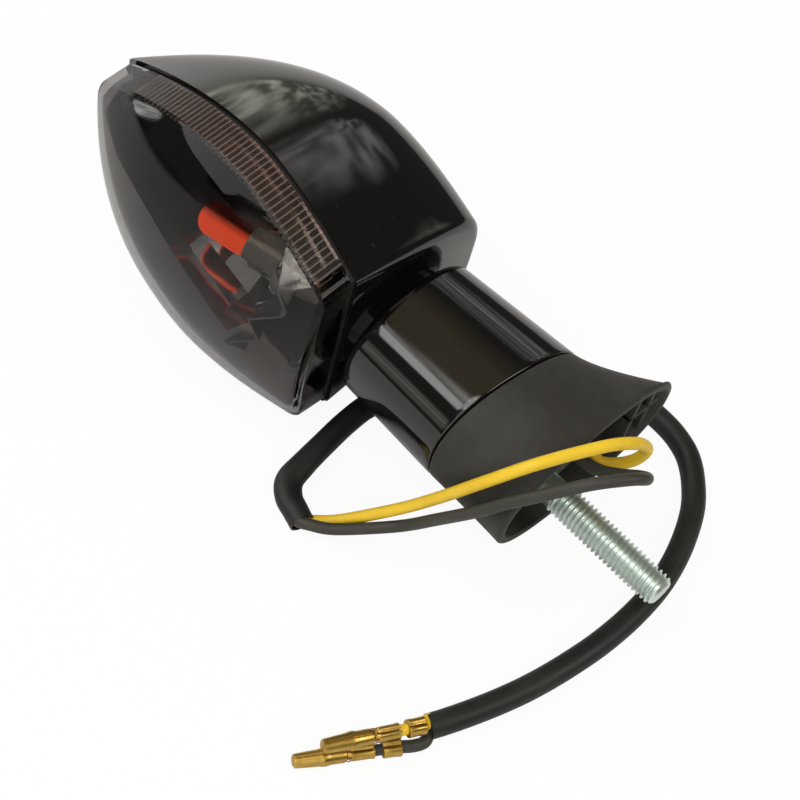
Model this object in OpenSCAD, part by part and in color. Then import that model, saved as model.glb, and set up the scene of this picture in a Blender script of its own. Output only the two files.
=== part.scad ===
// Motorcycle turn signal: a leaf-shaped lamp head on a short oval stem, a flexible rubber base
// and one threaded stud. Millimetres. +X runs out along the stud, the lens faces -Y, +Z is up.
// The origin is on the stud's axis, level with the rim of the base's foot.

/* [Head] */
// Length of the head from its end face to its tip
head_len = 94; // [85:1:110]
// Height of the head's middle above the stud axis
head_z = 4; // [2:0.5:6]
// Distance from the end face to the widest place of the rim
rim_wide_at = 33; // [25:1:42]
// Half height of the rim at its widest place
rim_half_wide = 31; // [29:0.5:34]
// Half height of the rim at the end face
rim_half_end = 25; // [23:0.5:27]
// Half height of the rim at the tip
rim_half_tip = 2.4; // [2:0.5:5]
// How far the rim lies in front of the stem's axis at the end face
rim_front = 19; // [17:0.5:22]
// How far the rim falls back between the end face and the tip
rim_sweep = 16; // [8:1:20]
// Depth of the housing behind the rim at the end face
housing_depth = 45.8; // [40:0.2:50]
// Inward slope of the housing's top and bottom, in degrees
housing_draft = 11; // [6:1:14]
// Wall of the housing
housing_wall = 2.4; // [1.8:0.2:3]
// Rounding between the end face and the housing's sides
end_round = 2; // [1:0.5:3]

/* [Lens] */
// Straight skirt of the lens in front of the rim
lens_skirt = 8; // [6:0.5:9]
// Bulge of the lens in front of its skirt
lens_dome = 17; // [14:1:20]
// Distance from the end face to the fullest place of the lens
lens_full_at = 52; // [46:1:58]
// Wall of the lens
lens_wall = 2; // [1.6:0.2:2.6]
// How far the housing's rim stands outside the lens
lens_step = 0.8; // [0.4:0.1:1.2]
// Thickness of the rubber seal between lens and housing
seal_t = 1; // [0.6:0.1:1.6]
// Thread diameter of the two screws that hold the lens
lens_screw_d = 3; // [2.5:0.5:4]
// Reach of the lens screws into the lens
lens_screw_bite = 6; // [4:0.5:7]

/* [Reflector] */
// Depth of the reflector bowl behind the rim
reflector_depth = 16; // [12:1:20]
// How far the reflector's edge stands in front of the rim
reflector_lip = 6; // [4:0.5:7]
// How much further the reflector's lip reaches below than above, at the end
reflector_droop = 2.2; // [0:0.2:3]
// How much that grows to the tip
reflector_reach = 6.6; // [0:0.2:6.6]
// Gap between the reflector's edge and the lens skirt
reflector_gap = 2.6; // [2:0.2:4]
// Wall of the reflector
reflector_wall = 1.2; // [1:0.1:1.8]
// Lean of the reflector's end wall toward the tip at its bottom, in degrees
reflector_lean = 20; // [10:1:26]
// Turn of the reflector's end wall in plan, deeper toward the tip, in degrees
reflector_swing = 35; // [20:1:45]

/* [Bulb] */
// Diameter of the bulb's glass
bulb_glass_d = 8.8; // [8:0.2:9]
// Length of the bulb's glass
bulb_glass_len = 16; // [13:0.5:18]
// Diameter of the bulb's cap
bulb_cap_d = 9; // [8.6:0.1:9.4]
// Length of the bulb's cap
bulb_cap_len = 12; // [11:0.5:14]
// Distance from the end face to where the glass meets the cap
bulb_at = 36; // [32:1:40]
// Distance of the bulb in front of the stem's axis where the glass meets the cap
bulb_front = 13; // [11:0.5:15]
// Turn of the bulb in plan, cap end to the rear, in degrees
bulb_turn = 12; // [8:1:16]
// Travel of the bulb into its socket
bulb_push = 1.5; // [1:0.1:2]
// Running gap of the bulb's cap in the socket
bulb_fit = 0.3; // [0.2:0.05:0.5]
// Wall of the socket shell
socket_wall = 0.7; // [0.5:0.1:1]
// Length of the socket shell
socket_len = 19; // [18:0.5:22]
// Wire diameter of the contact spring
spring_wire = 0.6; // [0.4:0.1:0.7]
// Turns of the contact spring
spring_turns = 3; // [2:1:4]

/* [Stem] */
// Length of the stem
stem_len = 33; // [26:1:40]
// Distance of the stem's axis behind the stud's axis
stem_y = 5; // [3:0.5:7]
// Width of the stem at the head
stem_w_head = 40; // [38:0.5:44]
// Height of the stem at the head
stem_h_head = 32.5; // [31:0.5:36]
// Width of the stem at the rubber base
stem_w_base = 44; // [41:0.5:47]
// Height of the stem at the rubber base
stem_h_base = 34.5; // [33:0.5:38]
// Rounded shoulder of the stem at the head
stem_shoulder = 2.4; // [1:0.2:3]
// Wall of the stem around its bore
stem_wall = 5; // [4:0.5:6]
// Thickness of the web that closes the stem at the head
stem_web = 7; // [6:0.5:9]
// Height of the oval neck between head and stem
neck_h = 2.4; // [1.5:0.1:4]
// How far the neck lies inside the stem's outline
neck_inset = 2.4; // [1.5:0.1:4]
// Thread diameter of the two screws that hold the stem
stem_screw_d = 4; // [3:0.5:4.5]
// Distance of each stem screw from the stem's axis
stem_screw_at = 10; // [9:0.5:11]

/* [Rubber base] */
// Length of the rubber base
base_len = 22; // [20:1:30]
// Lean of the seam between the stem and the rubber base, in degrees
seam_lean = 6; // [0:1:8]
// How far the stem's end lies behind the stem's axis
seam_shift = 0.8; // [0:0.1:1.5]
// Width of the foot
foot_w = 58.4; // [52:0.2:62]
// Height of the foot
foot_h = 32; // [30:1:36]
// Distance of the foot's middle behind the stud's axis
foot_y = 10.5; // [7:0.5:12]
// Distance of the foot's middle above the stud's axis
foot_z = 2; // [0:0.5:3]
// Wall around the hollow of the foot
foot_wall = 2.4; // [2:0.2:3.5]
// Depth of the hollow of the foot
foot_hollow = 8; // [6:0.5:9]
// Length of the rubber plug inside the stem
plug_len = 10; // [6:1:14]
// Gap between the stem and the rubber
rubber_gap = 0.3; // [0.2:0.05:0.5]

/* [Stud] */
// Diameter of the stud's thread
stud_d = 8; // [6:1:8]
// Length of the stud beyond the foot
stud_len = 33; // [25:1:45]
// Width of the stud's hexagon head across its flats
stud_hex = 13; // [12:0.5:13]
// Height of the stud's head
stud_head_h = 4; // [3:0.5:5]
// Thickness of the steel plate under the foot
plate_t = 2.5; // [2:0.5:3]
// Width of the steel plate
plate_w = 36; // [34:1:40]
// Height of the steel plate
plate_h = 23; // [22:0.5:25]

/* [Wiring] */
// Diameter of each wire
wire_d = 2.9; // [2.4:0.1:3]
// Diameter of the sleeve over the two wires
sleeve_d = 6; // [5.6:0.1:6.6]
// Diameter of the wire hole through base and plate
wire_hole_d = 7; // [6:0.2:7.4]
// Diameter of the bullet terminals
bullet_d = 4; // [3.5:0.1:4.5]
// Length of the bullet terminals
bullet_len = 24.4; // [20:0.2:28]

/* [Hidden] */
$fn = 48;
eps = 0.02;

// Places along the stud's axis
seam_x = -base_len;
stem_x0 = seam_x - rubber_gap;
stem_x1 = stem_x0 - stem_len;
end_x = stem_x1 - neck_h;
tip_x = end_x - head_len;
rim_y0 = stem_y - rim_front;

// Wire hole beside the stud's head
wire_y = 9;
wire_z = 6.5;
wire_pitch = wire_d + 0.25;

// Stem bore and the rubber plug inside it
bore_w = stem_w_head - 2 * stem_wall;
bore_h = stem_h_head - 2 * stem_wall;
plug_reach = 1 + tan(seam_lean) * bore_w / 2;

// Bulb frame: its axis starts where the glass meets the cap
cap_r = bulb_cap_d / 2;
socket_r = cap_r + bulb_fit;
shell_r = socket_r + socket_wall;
socket_at = 2.5;
pin_at = 6;
pin_r = 0.75;
pin_reach = shell_r - 0.1;
contact_h = 1;
carrier_t = 1.6;
carrier_at = bulb_cap_len + contact_h + 0.1;
spring_at = carrier_at + carrier_t + 0.1;
socket_floor = 0.8;
boss_wall = 1.4;
boss_at = 7;
boss_len = 9;

// Lens screws: distance from the end face, and height above the head's middle
screw_in = 9;
screw_low = 15;
screw_spots = [[screw_in, -screw_low], [head_len - screw_in, 0]];
screw_head_r = lens_screw_d * 0.95;
screw_head_h = 2;
screw_ledge = 4;
well_r = screw_head_r + 0.4;
well_wall = 1.4;
lens_boss_r = lens_screw_d / 2 + 1.8;

function lerp(a, b, t) = a + (b - a) * t;
function unit(v) = v / norm(v);
function signed_pow(v, p) = sign(v) * pow(abs(v), p);

// Outline of the rim at a distance e from the end face
function rim_y(e) = rim_y0 + rim_sweep * e / head_len;
function rim_half(e) = e < rim_wide_at
    ? rim_half_wide - (rim_half_wide - rim_half_end) * pow(1 - e / rim_wide_at, 2)
    : lerp(rim_half_wide, rim_half_tip,
        pow((e - rim_wide_at) / (head_len - rim_wide_at), 1.6));
function depth_share(e) = 1 - pow(e / (head_len + 0.5), 3.2);
function dome_share(e) = e < lens_full_at
    ? 1 - 0.86 * pow((lens_full_at - e) / lens_full_at, 2)
    : 1 - 0.95 * pow((e - lens_full_at) / (head_len - lens_full_at), 2);

// Half section of a bowl that opens toward -Y, with squarish corners and drafted sides
function bowl_ring(e, half, front, depth, corner, draft) =
    [for (i = [9:-1:-9])
        let (c = pow(max(0, cos(i * 10)), 2 / corner), s = signed_pow(sin(i * 10), 2 / corner))
        [end_x - e, front + depth * c, head_z + s * (half - depth * c * tan(draft))]];

// Section of the lens: skirt, crease, then a bulge that is fuller below the middle
function dome_point(t, half, skirt, dome) =
    let (a = pow(1 - t, 3), b = 3 * t * pow(1 - t, 2), c = 3 * t * t * (1 - t), d = pow(t, 3))
    [skirt + dome * (1.62 * b + 0.96 * c), half * (-a - 0.95 * b + 0.68 * c + d)];
function lens_ring(e, inset, back) =
    let (half = rim_half(e) - lens_step - inset, y = rim_y(e), draft = 0.8,
        dome = max(0.5, lens_dome * dome_share(e) - inset))
    concat([[end_x - e, y + back, head_z - half]],
        [for (i = [0:14]) let (p = dome_point(i / 14, half - draft, lens_skirt, dome))
            [end_x - e, y - p[0], head_z + p[1]]],
        [[end_x - e, y + back, head_z + half]]);

// Oval section across the stud's axis
function oval_ring(x, y, z, w, h, corner = 2.3, count = 48) =
    [for (i = [0:count - 1]) let (a = -360 * i / count)
        [x, y + w / 2 * signed_pow(cos(a), 2 / corner), z + h / 2 * signed_pow(sin(a), 2 / corner)]];

// Ring that leans along the stud's axis from one side to the other
function leaning(ring, share) =
    [for (p = ring) [p[0] + share * tan(seam_lean) * (p[1] - stem_y - seam_shift), p[1], p[2]]];

// Solid through a row of rings that have equally many points
module loft(rings) {
    n = len(rings[0]);
    last = len(rings) - 1;
    sides = [for (r = [0:last - 1], i = [0:n - 1]) let (j = (i + 1) % n)
        each [[r * n + i, r * n + j, (r + 1) * n + j], [r * n + i, (r + 1) * n + j, (r + 1) * n + i]]];
    start = [for (i = [n - 1:-1:0]) i];
    end = [for (i = [0:n - 1]) last * n + i];
    polyhedron(points = [for (r = rings) each r], faces = concat(sides, [start], [end]), convexity = 8);
}

// Round tube along a route, with one ring at each point
function tangent(p, i) = unit(p[min(i + 1, len(p) - 1)] - p[max(i - 1, 0)]);
module tube(route, d, sides = 8) {
    loft([for (i = [0:len(route) - 1])
        let (t = tangent(route, i), side = unit(cross(t, [0.01, 0.02, 1])), up = cross(side, t))
        [for (k = [0:sides - 1]) let (a = 360 * k / sides)
            route[i] + d / 2 * (cos(a) * side + sin(a) * up)]]);
}

// Flat oval with exact round ends
module obround(w, h) {
    r = min(w, h) / 2;
    square([max(eps, w - 2 * r), h], center = true);
    for (s = [-1, 1])
        translate([s * (w / 2 - r), 0])
            circle(r);
}

// Oval bar along +X from x0 to x1, with its width along Y
module oval_bar(x0, x1, y, z, w, h) {
    translate([x0, y, z])
        rotate([90, 0, 90])
            linear_extrude(x1 - x0)
                obround(w, h);
}

// Round bar along +X, or along +Y
module bar_x(x0, x1, y, z, r) {
    translate([x0, y, z])
        rotate([0, 90, 0])
            cylinder(h = x1 - x0, r = r);
}
module bar_y(y0, y1, x, z, r) {
    translate([x, y0, z])
        rotate([-90, 0, 0])
            cylinder(h = y1 - y0, r = r);
}

// Places its children on the bulb's axis, with +Z running from the glass to the socket
module on_bulb() {
    translate([end_x - bulb_at, stem_y - bulb_front, head_z - 3])
        rotate([0, 0, bulb_turn])
            rotate([0, 90, 0])
                children();
}

// Rings of the housing from its tip to its end face, at these shares of its length
housing_stops = [1, 4, 9, 16, 24, 33, 42, 51, 60, 68, 75, 81, 86, 90, 93] / 95;
function housing_ring(e, inset, front, round) =
    bowl_ring(e, rim_half(e) - inset - round, rim_y(e) + front,
        max(1.5, housing_depth * depth_share(e) - front - inset - round), 4.2, housing_draft);
module housing_skin() {
    loft(concat([housing_ring(head_len, 0, seal_t, 0.8)],
        [for (i = [len(housing_stops) - 1:-1:1])
            housing_ring(housing_stops[i] * head_len, 0, seal_t, 0)],
        [housing_ring(end_round * 0.3, 0, seal_t, end_round * 0.3)],
        [housing_ring(0, 0, seal_t, end_round)]));
}
module housing_hollow(wall) {
    reach = head_len - 2 * wall;
    loft(concat([for (i = [len(housing_stops) - 3:-1:1])
            housing_ring(housing_stops[i] / housing_stops[len(housing_stops) - 2] * reach, wall, -1, 0)],
        [housing_ring(wall, wall, -1, 0.4)]));
}
module well(spot, r, y0, y1) {
    bar_y(rim_y(spot[0]) + y0, rim_y(spot[0]) + y1, end_x - spot[0], head_z + spot[1], r);
}
module neck() {
    oval_bar(end_x - housing_wall, stem_x1, stem_y, 0, stem_w_head - 2 * (stem_shoulder + neck_inset),
        stem_h_head - 2 * (stem_shoulder + neck_inset));
}
module housing() {
    color("#141414")
        difference() {
            union() {
                difference() {
                    housing_skin();
                    housing_hollow(housing_wall);
                }
                neck();
                intersection() {
                    housing_skin();
                    for (spot = screw_spots)
                        well(spot, well_r + well_wall, seal_t, housing_depth);
                }
            }
            for (spot = screw_spots) {
                well(spot, well_r, seal_t + screw_ledge, housing_depth + 5);
                well(spot, lens_screw_d / 2 + 0.2, -1, housing_depth);
            }
            bar_x(end_x - housing_wall - 1, stem_x1 + 1, stem_y, 0, wire_hole_d / 2);
            for (s = [-1, 1])
                bar_x(end_x - housing_wall - 1, stem_x1 + 1, stem_y + s * stem_screw_at, 0,
                    stem_screw_d / 2 + 0.2);
        }
}

// Lens with its two screw bosses
lens_stops = [0, 3, 8, 15, 23, 32, 41, 50, 59, 67, 74, 80, 85, 89, 92] / 95;
module lens_skin() {
    loft(concat([lens_ring(head_len - lens_step - 0.4, 0.6, 0)],
        [for (i = [len(lens_stops) - 1:-1:1]) lens_ring(lens_stops[i] * head_len, 0, 0)],
        [lens_ring(lens_step, 0.6, 0)]));
}
module lens_hollow() {
    reach = head_len - 2.4 * lens_wall;
    loft(concat([for (i = [len(lens_stops) - 2:-1:1])
            lens_ring(lens_stops[i] / lens_stops[len(lens_stops) - 2] * reach, lens_wall, 1)],
        [lens_ring(lens_wall + lens_step, lens_wall, 1)]));
}
module lens() {
    color("#4a4540", 0.55)
        difference() {
            union() {
                difference() {
                    lens_skin();
                    lens_hollow();
                }
                intersection() {
                    lens_skin();
                    for (spot = screw_spots)
                        well(spot, lens_boss_r, -lens_skirt - lens_dome, 0);
                }
            }
            for (spot = screw_spots)
                well(spot, lens_screw_d / 2, -lens_screw_bite - 0.5, 1);
        }
}

// Band that follows the rim, between two insets and two distances from the rim plane
module rim_band(inner, outer, y0, y1) {
    difference() {
        rim_slab(outer, y0, y1);
        rim_slab(inner, y0 - 1, y1 + 1);
    }
}
module rim_slab(inset, y0, y1) {
    reach = head_len - inset * 1.6;
    loft([for (i = [len(housing_stops):-1:0])
        let (e = i == 0 ? inset : i == len(housing_stops) ? reach : housing_stops[i] * reach,
            half = rim_half(min(head_len, e * head_len / reach)) - inset, y = rim_y(e), x = end_x - e)
        [[x, y + y0, head_z + half], [x, y + y1, head_z + half],
            [x, y + y1, head_z - half], [x, y + y0, head_z - half]]]);
}
module lens_seal() {
    color("#1c1c1c")
        rim_band(housing_wall + 0.2, 1, 0, seal_t);
}

// Self-tapping screws that come from the rear through the housing's wells
module lens_screws() {
    color("#b9bdc0")
        for (spot = screw_spots) {
            well(spot, lens_screw_d / 2, -lens_screw_bite, seal_t + screw_ledge + eps);
            difference() {
                well(spot, screw_head_r, seal_t + screw_ledge, seal_t + screw_ledge + screw_head_h);
                translate([end_x - spot[0], rim_y(spot[0]) + seal_t + screw_ledge + screw_head_h,
                    head_z + spot[1]])
                    for (a = [0, 90])
                        rotate([0, a, 0])
                            cube([screw_head_r * 1.2, 2, 0.8], center = true);
            }
        }
}

// Reflector: a bowl with a leaning end wall, a boss for the socket and a flange on the rim
reflector_stops = [0, 9, 18, 27, 36, 45, 54, 62, 69, 75, 79] / 95;
flange_gap = 0.2;
flange_tip = 23;
lean_foot = 26;
function reflector_half(e, inset) =
    max(1, rim_half(e) - lens_step - lens_wall - reflector_gap - inset);
// How much further the lip reaches below than above
function reflector_tilt(e) = reflector_droop + reflector_reach * pow(e / head_len, 2);
module reflector_bowl(inset, front) {
    loft([for (i = [len(reflector_stops) - 1:-1:0])
        let (e = inset + reflector_stops[i] * (head_len - 2 * inset),
            half_tilt = reflector_tilt(e) / 2,
            lip = reflector_lip + half_tilt + front,
            depth = reflector_depth * depth_share(min(head_len, e + 12)))
        [for (p = bowl_ring(e, reflector_half(e, inset), rim_y(e) - lip, depth + lip - inset, 2.6, 0))
            [p[0], p[1] + half_tilt * (p[2] - head_z) / reflector_half(e, 0), p[2]]]]);
}
module reflector_flange() {
    difference() {
        intersection() {
            rim_slab(1, seal_t, seal_t + reflector_wall);
            housing_hollow(housing_wall + flange_gap);
        }
        rim_slab(housing_wall + reflector_gap + 3, 0, 5);
        translate([tip_x, rim_y0, head_z - rim_half_wide])
            cube([flange_tip, 2 * rim_sweep, 2 * rim_half_wide]);
        for (spot = screw_spots)
            well(spot, well_r + well_wall + flange_gap, -1, 5);
    }
}
// Half space on the tip's side of the leaning end wall
module lean_side(inset) {
    translate([end_x - lean_foot - inset, rim_y(lean_foot) - reflector_lip, head_z - rim_half_end])
        rotate([0, reflector_lean, 0])
            rotate([0, 0, reflector_swing])
                translate([-2 * head_len, -head_len, -head_len])
                    cube(2 * head_len);
}
module reflector() {
    color("#d9dcde")
        difference() {
            union() {
                intersection() {
                    reflector_bowl(0, 0);
                    lean_side(0);
                }
                reflector_flange();
                on_bulb()
                    translate([0, 0, boss_at])
                        cylinder(h = boss_len, r = shell_r + boss_wall);
            }
            intersection() {
                reflector_bowl(reflector_wall, 1);
                lean_side(reflector_wall);
            }
            on_bulb()
                translate([0, 0, -1])
                    cylinder(h = socket_len + 20, r = shell_r + 0.1);
        }
}

// Bayonet socket: shell with two hooked slots and a floor
slot_half = pin_r + 0.15;
slot_reach = shell_r + 1;
hook_turn = 30;
module slot_cut(z0, z1) {
    translate([0, -slot_half, z0])
        cube([slot_reach, 2 * slot_half, z1 - z0]);
}
module socket_slot(turn) {
    hook_z = pin_at + bulb_push - pin_r - 0.2;
    hook_h = 2 * pin_r + 0.5;
    far = [slot_reach * cos(hook_turn), slot_reach * sin(hook_turn)];
    half = slot_half + 0.15;
    side = [-half * sin(hook_turn), half * cos(hook_turn)];
    rotate([0, 0, turn]) {
        slot_cut(pin_at - pin_r - 0.1, hook_z + 0.1);
        translate([0, 0, hook_z])
            linear_extrude(hook_h)
                polygon([[0, 0], [0, -half], [slot_reach, -half], [slot_reach * 1.1, half],
                    far * 1.05, far + side, side]);
        rotate([0, 0, hook_turn])
            slot_cut(0, hook_z + 0.1);
    }
}
module socket_shell() {
    color("#c8c4b4")
        on_bulb()
            difference() {
                translate([0, 0, socket_at])
                    cylinder(h = socket_len, r = shell_r);
                translate([0, 0, socket_at - 1])
                    cylinder(h = socket_len - socket_floor + 1, r = socket_r);
                cylinder(h = 60, r = wire_d / 2 + 0.3);
                for (turn = [90, 270])
                    socket_slot(turn);
            }
}

// Spring that presses the contact carrier against the bulb
spring_end = socket_at + socket_len - socket_floor - 0.1;
spring_r = 3;
spring_rise = spring_end - spring_at - spring_wire;
spring_steps = spring_turns * 8;
function spring_point(i) =
    let (a = 360 * i / 8)
    [spring_r * cos(a), spring_r * sin(a), spring_at + spring_wire / 2 + spring_rise * i / spring_steps];
spring_route = [for (i = [0:spring_steps]) spring_point(i)];
spring_gap = min([for (i = [0:spring_steps - 8]) norm(spring_point(i + 8) - spring_point(i))]) - spring_wire;
echo(least_gap_in_contact_spring = spring_gap);
module contact_spring() {
    color("#a9adb0")
        on_bulb()
            tube(spring_route, spring_wire, 6);
}
module contact_carrier() {
    color("#5b3a22")
        on_bulb()
            translate([0, 0, carrier_at])
                difference() {
                    cylinder(h = carrier_t, r = socket_r - 0.2);
                    translate([0, 0, -1])
                        cylinder(h = carrier_t + 2, r = 1);
                }
}
module contact_pin() {
    color("#b08d3c")
        on_bulb()
            translate([0, 0, carrier_at]) {
                translate([0, 0, -0.05])
                    cylinder(h = carrier_t + 0.05 + eps, r = 1 - eps);
                translate([0, 0, carrier_t])
                    cylinder(h = 1.2, r = 1.6);
            }
}

// Bayonet bulb
module bulb_cap() {
    color("#b7b3a6")
        on_bulb()
            difference() {
                cylinder(h = bulb_cap_len, r = cap_r);
                translate([0, 0, -1])
                    cylinder(h = bulb_cap_len - 1, r = cap_r - 0.5);
                for (turn = [90, 270])
                    rotate([0, 0, turn])
                        translate([0, 0, pin_at])
                            rotate([0, 90, 0])
                                cylinder(h = shell_r + 2, r = pin_r);
            }
}
module bulb_pins() {
    color("#b7b3a6")
        on_bulb()
            for (turn = [90, 270])
                rotate([0, 0, turn])
                    translate([cap_r - 0.5, 0, pin_at])
                        rotate([0, 90, 0])
                            cylinder(h = pin_reach - cap_r + 0.5, r = pin_r - eps / 2);
}
module bulb_contact() {
    color("#8f9294")
        on_bulb()
            translate([0, 0, bulb_cap_len])
                cylinder(h = contact_h, r1 = 2.6, r2 = 1.8);
}
glass_r = bulb_glass_d / 2;
glass_wall = 0.6;
module glass_shape(r, len) {
    rotate([180, 0, 0])
        rotate_extrude()
            union() {
                square([r, len - r * 0.8]);
                translate([0, len - r * 0.8])
                    intersection() {
                        scale([1, 0.8])
                            circle(r);
                        square([r, r]);
                    }
            }
}
module bulb_glass() {
    color("#e2601c", 0.8)
        on_bulb()
            difference() {
                union() {
                    translate([0, 0, -0.1])
                        glass_shape(glass_r, bulb_glass_len);
                    translate([0, 0, -0.2])
                        cylinder(h = 2.7, r = cap_r - 0.55);
                }
                translate([0, 0, 0.5])
                    glass_shape(glass_r - glass_wall, bulb_glass_len - glass_wall + 0.5);
                translate([0, 0, -0.5])
                    cylinder(h = 4, r = cap_r - 0.55 - glass_wall);
            }
}
filament_at = bulb_glass_len * 0.45;
module bulb_stem() {
    color("#dfe6e4")
        on_bulb() {
            translate([0, 0, -3])
                cylinder(h = bulb_cap_len + 0.9, r = 1.5);
            for (s = [-1, 1])
                translate([0, s, -filament_at])
                    cylinder(h = filament_at - 2, r = 0.2);
        }
}
module bulb_filament() {
    color("#6a6a6e")
        on_bulb()
            translate([0, 0, -filament_at - 0.35])
                rotate([90, 0, 0])
                    cylinder(h = 2.6, r = 0.35, center = true);
}

// Hollow oval stem, closed by a web at the head
module stem() {
    color("#171717")
        difference() {
            loft([
                oval_ring(stem_x1, stem_y, 0, stem_w_head - 2 * stem_shoulder,
                    stem_h_head - 2 * stem_shoulder),
                oval_ring(stem_x1 + stem_shoulder * 0.3, stem_y, 0, stem_w_head - 0.6 * stem_shoulder,
                    stem_h_head - 0.6 * stem_shoulder),
                oval_ring(stem_x1 + stem_shoulder, stem_y, 0, stem_w_head, stem_h_head),
                leaning(oval_ring(stem_x0, stem_y + seam_shift, 0, stem_w_base, stem_h_base), 1)
            ]);
            oval_bar(stem_x1 + stem_web, stem_x0 + plug_reach, stem_y, 0, bore_w, bore_h);
            bar_x(stem_x1 - 1, stem_x0, stem_y, 0, wire_hole_d / 2);
            for (s = [-1, 1])
                bar_x(stem_x1 - 1, stem_x1 + stem_web + 1, stem_y + s * stem_screw_at, 0,
                    stem_screw_d / 2);
        }
}
module stem_screws() {
    head_x = end_x - housing_wall;
    color("#b9bdc0")
        for (s = [-1, 1]) {
            bar_x(head_x - eps, stem_x1 + stem_web - 1, stem_y + s * stem_screw_at, 0, stem_screw_d / 2);
            difference() {
                bar_x(head_x - 2.2, head_x, stem_y + s * stem_screw_at, 0, stem_screw_d * 0.9);
                translate([head_x - 2.2, stem_y + s * stem_screw_at, 0])
                    for (a = [0, 90])
                        rotate([a, 0, 0])
                            cube([2, stem_screw_d * 1.1, 0.9], center = true);
            }
        }
}

// Leads inside the head and stem, from the socket to the rubber base
lead_end = seam_x + 7;
bulb_out = [cos(bulb_turn), sin(bulb_turn), 0];
bulb_start = [end_x - bulb_at, stem_y - bulb_front, head_z - 3];
lead_half = wire_pitch / 2;
module lead(socket_points, side) {
    tube(concat(socket_points, [
        [end_x - 7, stem_y - 3, side * 2.2],
        [end_x - 2, stem_y, side * lead_half],
        [stem_x1 + stem_web + 1, stem_y, side * lead_half],
        [stem_x1 + stem_web + 8, wire_y - 2 + side * lead_half * 1.2, wire_z - 3 + side * lead_half * 1.2],
        [seam_x - plug_len - 1, wire_y + side * lead_half, wire_z],
        [lead_end - 4, wire_y + side * lead_half, wire_z],
        [lead_end, wire_y + side * lead_half, wire_z]]), wire_d);
}
module feed_lead() {
    tail = bulb_start + bulb_out * (socket_at + socket_len + 0.2);
    color("#e6c81e")
        lead([tail, tail + 3 * bulb_out], 1);
}
module ground_lead() {
    side = [0, 0, -shell_r - wire_d / 2 - 0.1];
    color("#2b2b28")
        lead([bulb_start + bulb_out * (socket_at + socket_len - 5) + side,
            bulb_start + bulb_out * (socket_at + socket_len) + side], -1);
}

// Rubber base: flared body, hollow ribbed foot, plug into the stem
function base_ring(t, inset) =
    let (flare = pow(t, 1.5), x = lerp(seam_x, 0, t))
    leaning(oval_ring(x, lerp(stem_y + seam_shift, foot_y, flare), lerp(0, foot_z, flare),
        lerp(stem_w_base, foot_w, flare) - 2 * inset, lerp(stem_h_base, foot_h, flare) - 2 * inset),
        pow(1 - t, 3));
rib_t = 1.6;
hollow_share = foot_hollow / base_len;
module foot_ribs() {
    intersection() {
        loft([base_ring(0.5, foot_wall / 2), base_ring(0.95, foot_wall / 2)]);
        union() {
            for (y = [foot_y + foot_w * 0.27, foot_y + foot_w * 0.37])
                translate([-foot_hollow - 1, y, foot_z - foot_h / 2])
                    cube([foot_hollow, rib_t, foot_h]);
            translate([-foot_hollow - 1, foot_y + foot_w * 0.27, foot_z])
                cube([foot_hollow, foot_w / 2, rib_t]);
        }
    }
}
module rubber_base() {
    color("#33312d")
        difference() {
            union() {
                difference() {
                    loft([for (i = [0:8]) base_ring(i / 8, 0)]);
                    loft([for (i = [0:3]) base_ring(1 + hollow_share * (i / 2.9 - 1), foot_wall)]);
                }
                foot_ribs();
                oval_bar(seam_x - plug_len, seam_x + plug_reach, stem_y, 0, bore_w - 2 * rubber_gap,
                    bore_h - 2 * rubber_gap);
            }
            stay_pocket(0.1);
            bar_x(seam_x - plug_len - 1, 0, wire_y, wire_z, wire_hole_d / 2);
        }
}

// Steel plate and stud held in the foot
plate_x0 = -foot_hollow;
plate_x1 = plate_x0 + plate_t;
plate_y = 4;
plate_z = 1.5;
shank_r = stud_d * 0.445;
thread_x = 0.6;
module stay_pocket(gap) {
    oval_bar(plate_x0, 1, plate_y, plate_z, plate_w + 2 * gap, plate_h + 2 * gap);
    translate([plate_x0 - stud_head_h - gap, 0, 0])
        rotate([0, 90, 0])
            cylinder(h = stud_head_h + gap + eps, d = stud_hex / cos(30) + 2 * gap, $fn = 6);
}
module stay_plate() {
    color("#c3c7c9")
        difference() {
            oval_bar(plate_x0, plate_x1, plate_y, plate_z, plate_w, plate_h);
            bar_x(plate_x0 - 1, plate_x1 + 1, 0, 0, shank_r + 0.05);
            bar_x(plate_x0 - 1, plate_x1 + 1, wire_y, wire_z, wire_hole_d / 2 - 0.2);
        }
}
module mount_stud() {
    tip = 1.2;
    color("#cfd6d6") {
        bar_x(plate_x0 - eps, thread_x + eps, 0, 0, shank_r);
        bar_x(thread_x, stud_len - tip, 0, 0, stud_d / 2);
        translate([stud_len - tip, 0, 0])
            rotate([0, 90, 0])
                cylinder(h = tip, r1 = stud_d / 2, r2 = stud_d / 2 - tip * 0.9);
        translate([plate_x0 - stud_head_h, 0, 0])
            rotate([0, 90, 0])
                cylinder(h = stud_head_h, d = stud_hex / cos(30), $fn = 6);
    }
}

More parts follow.
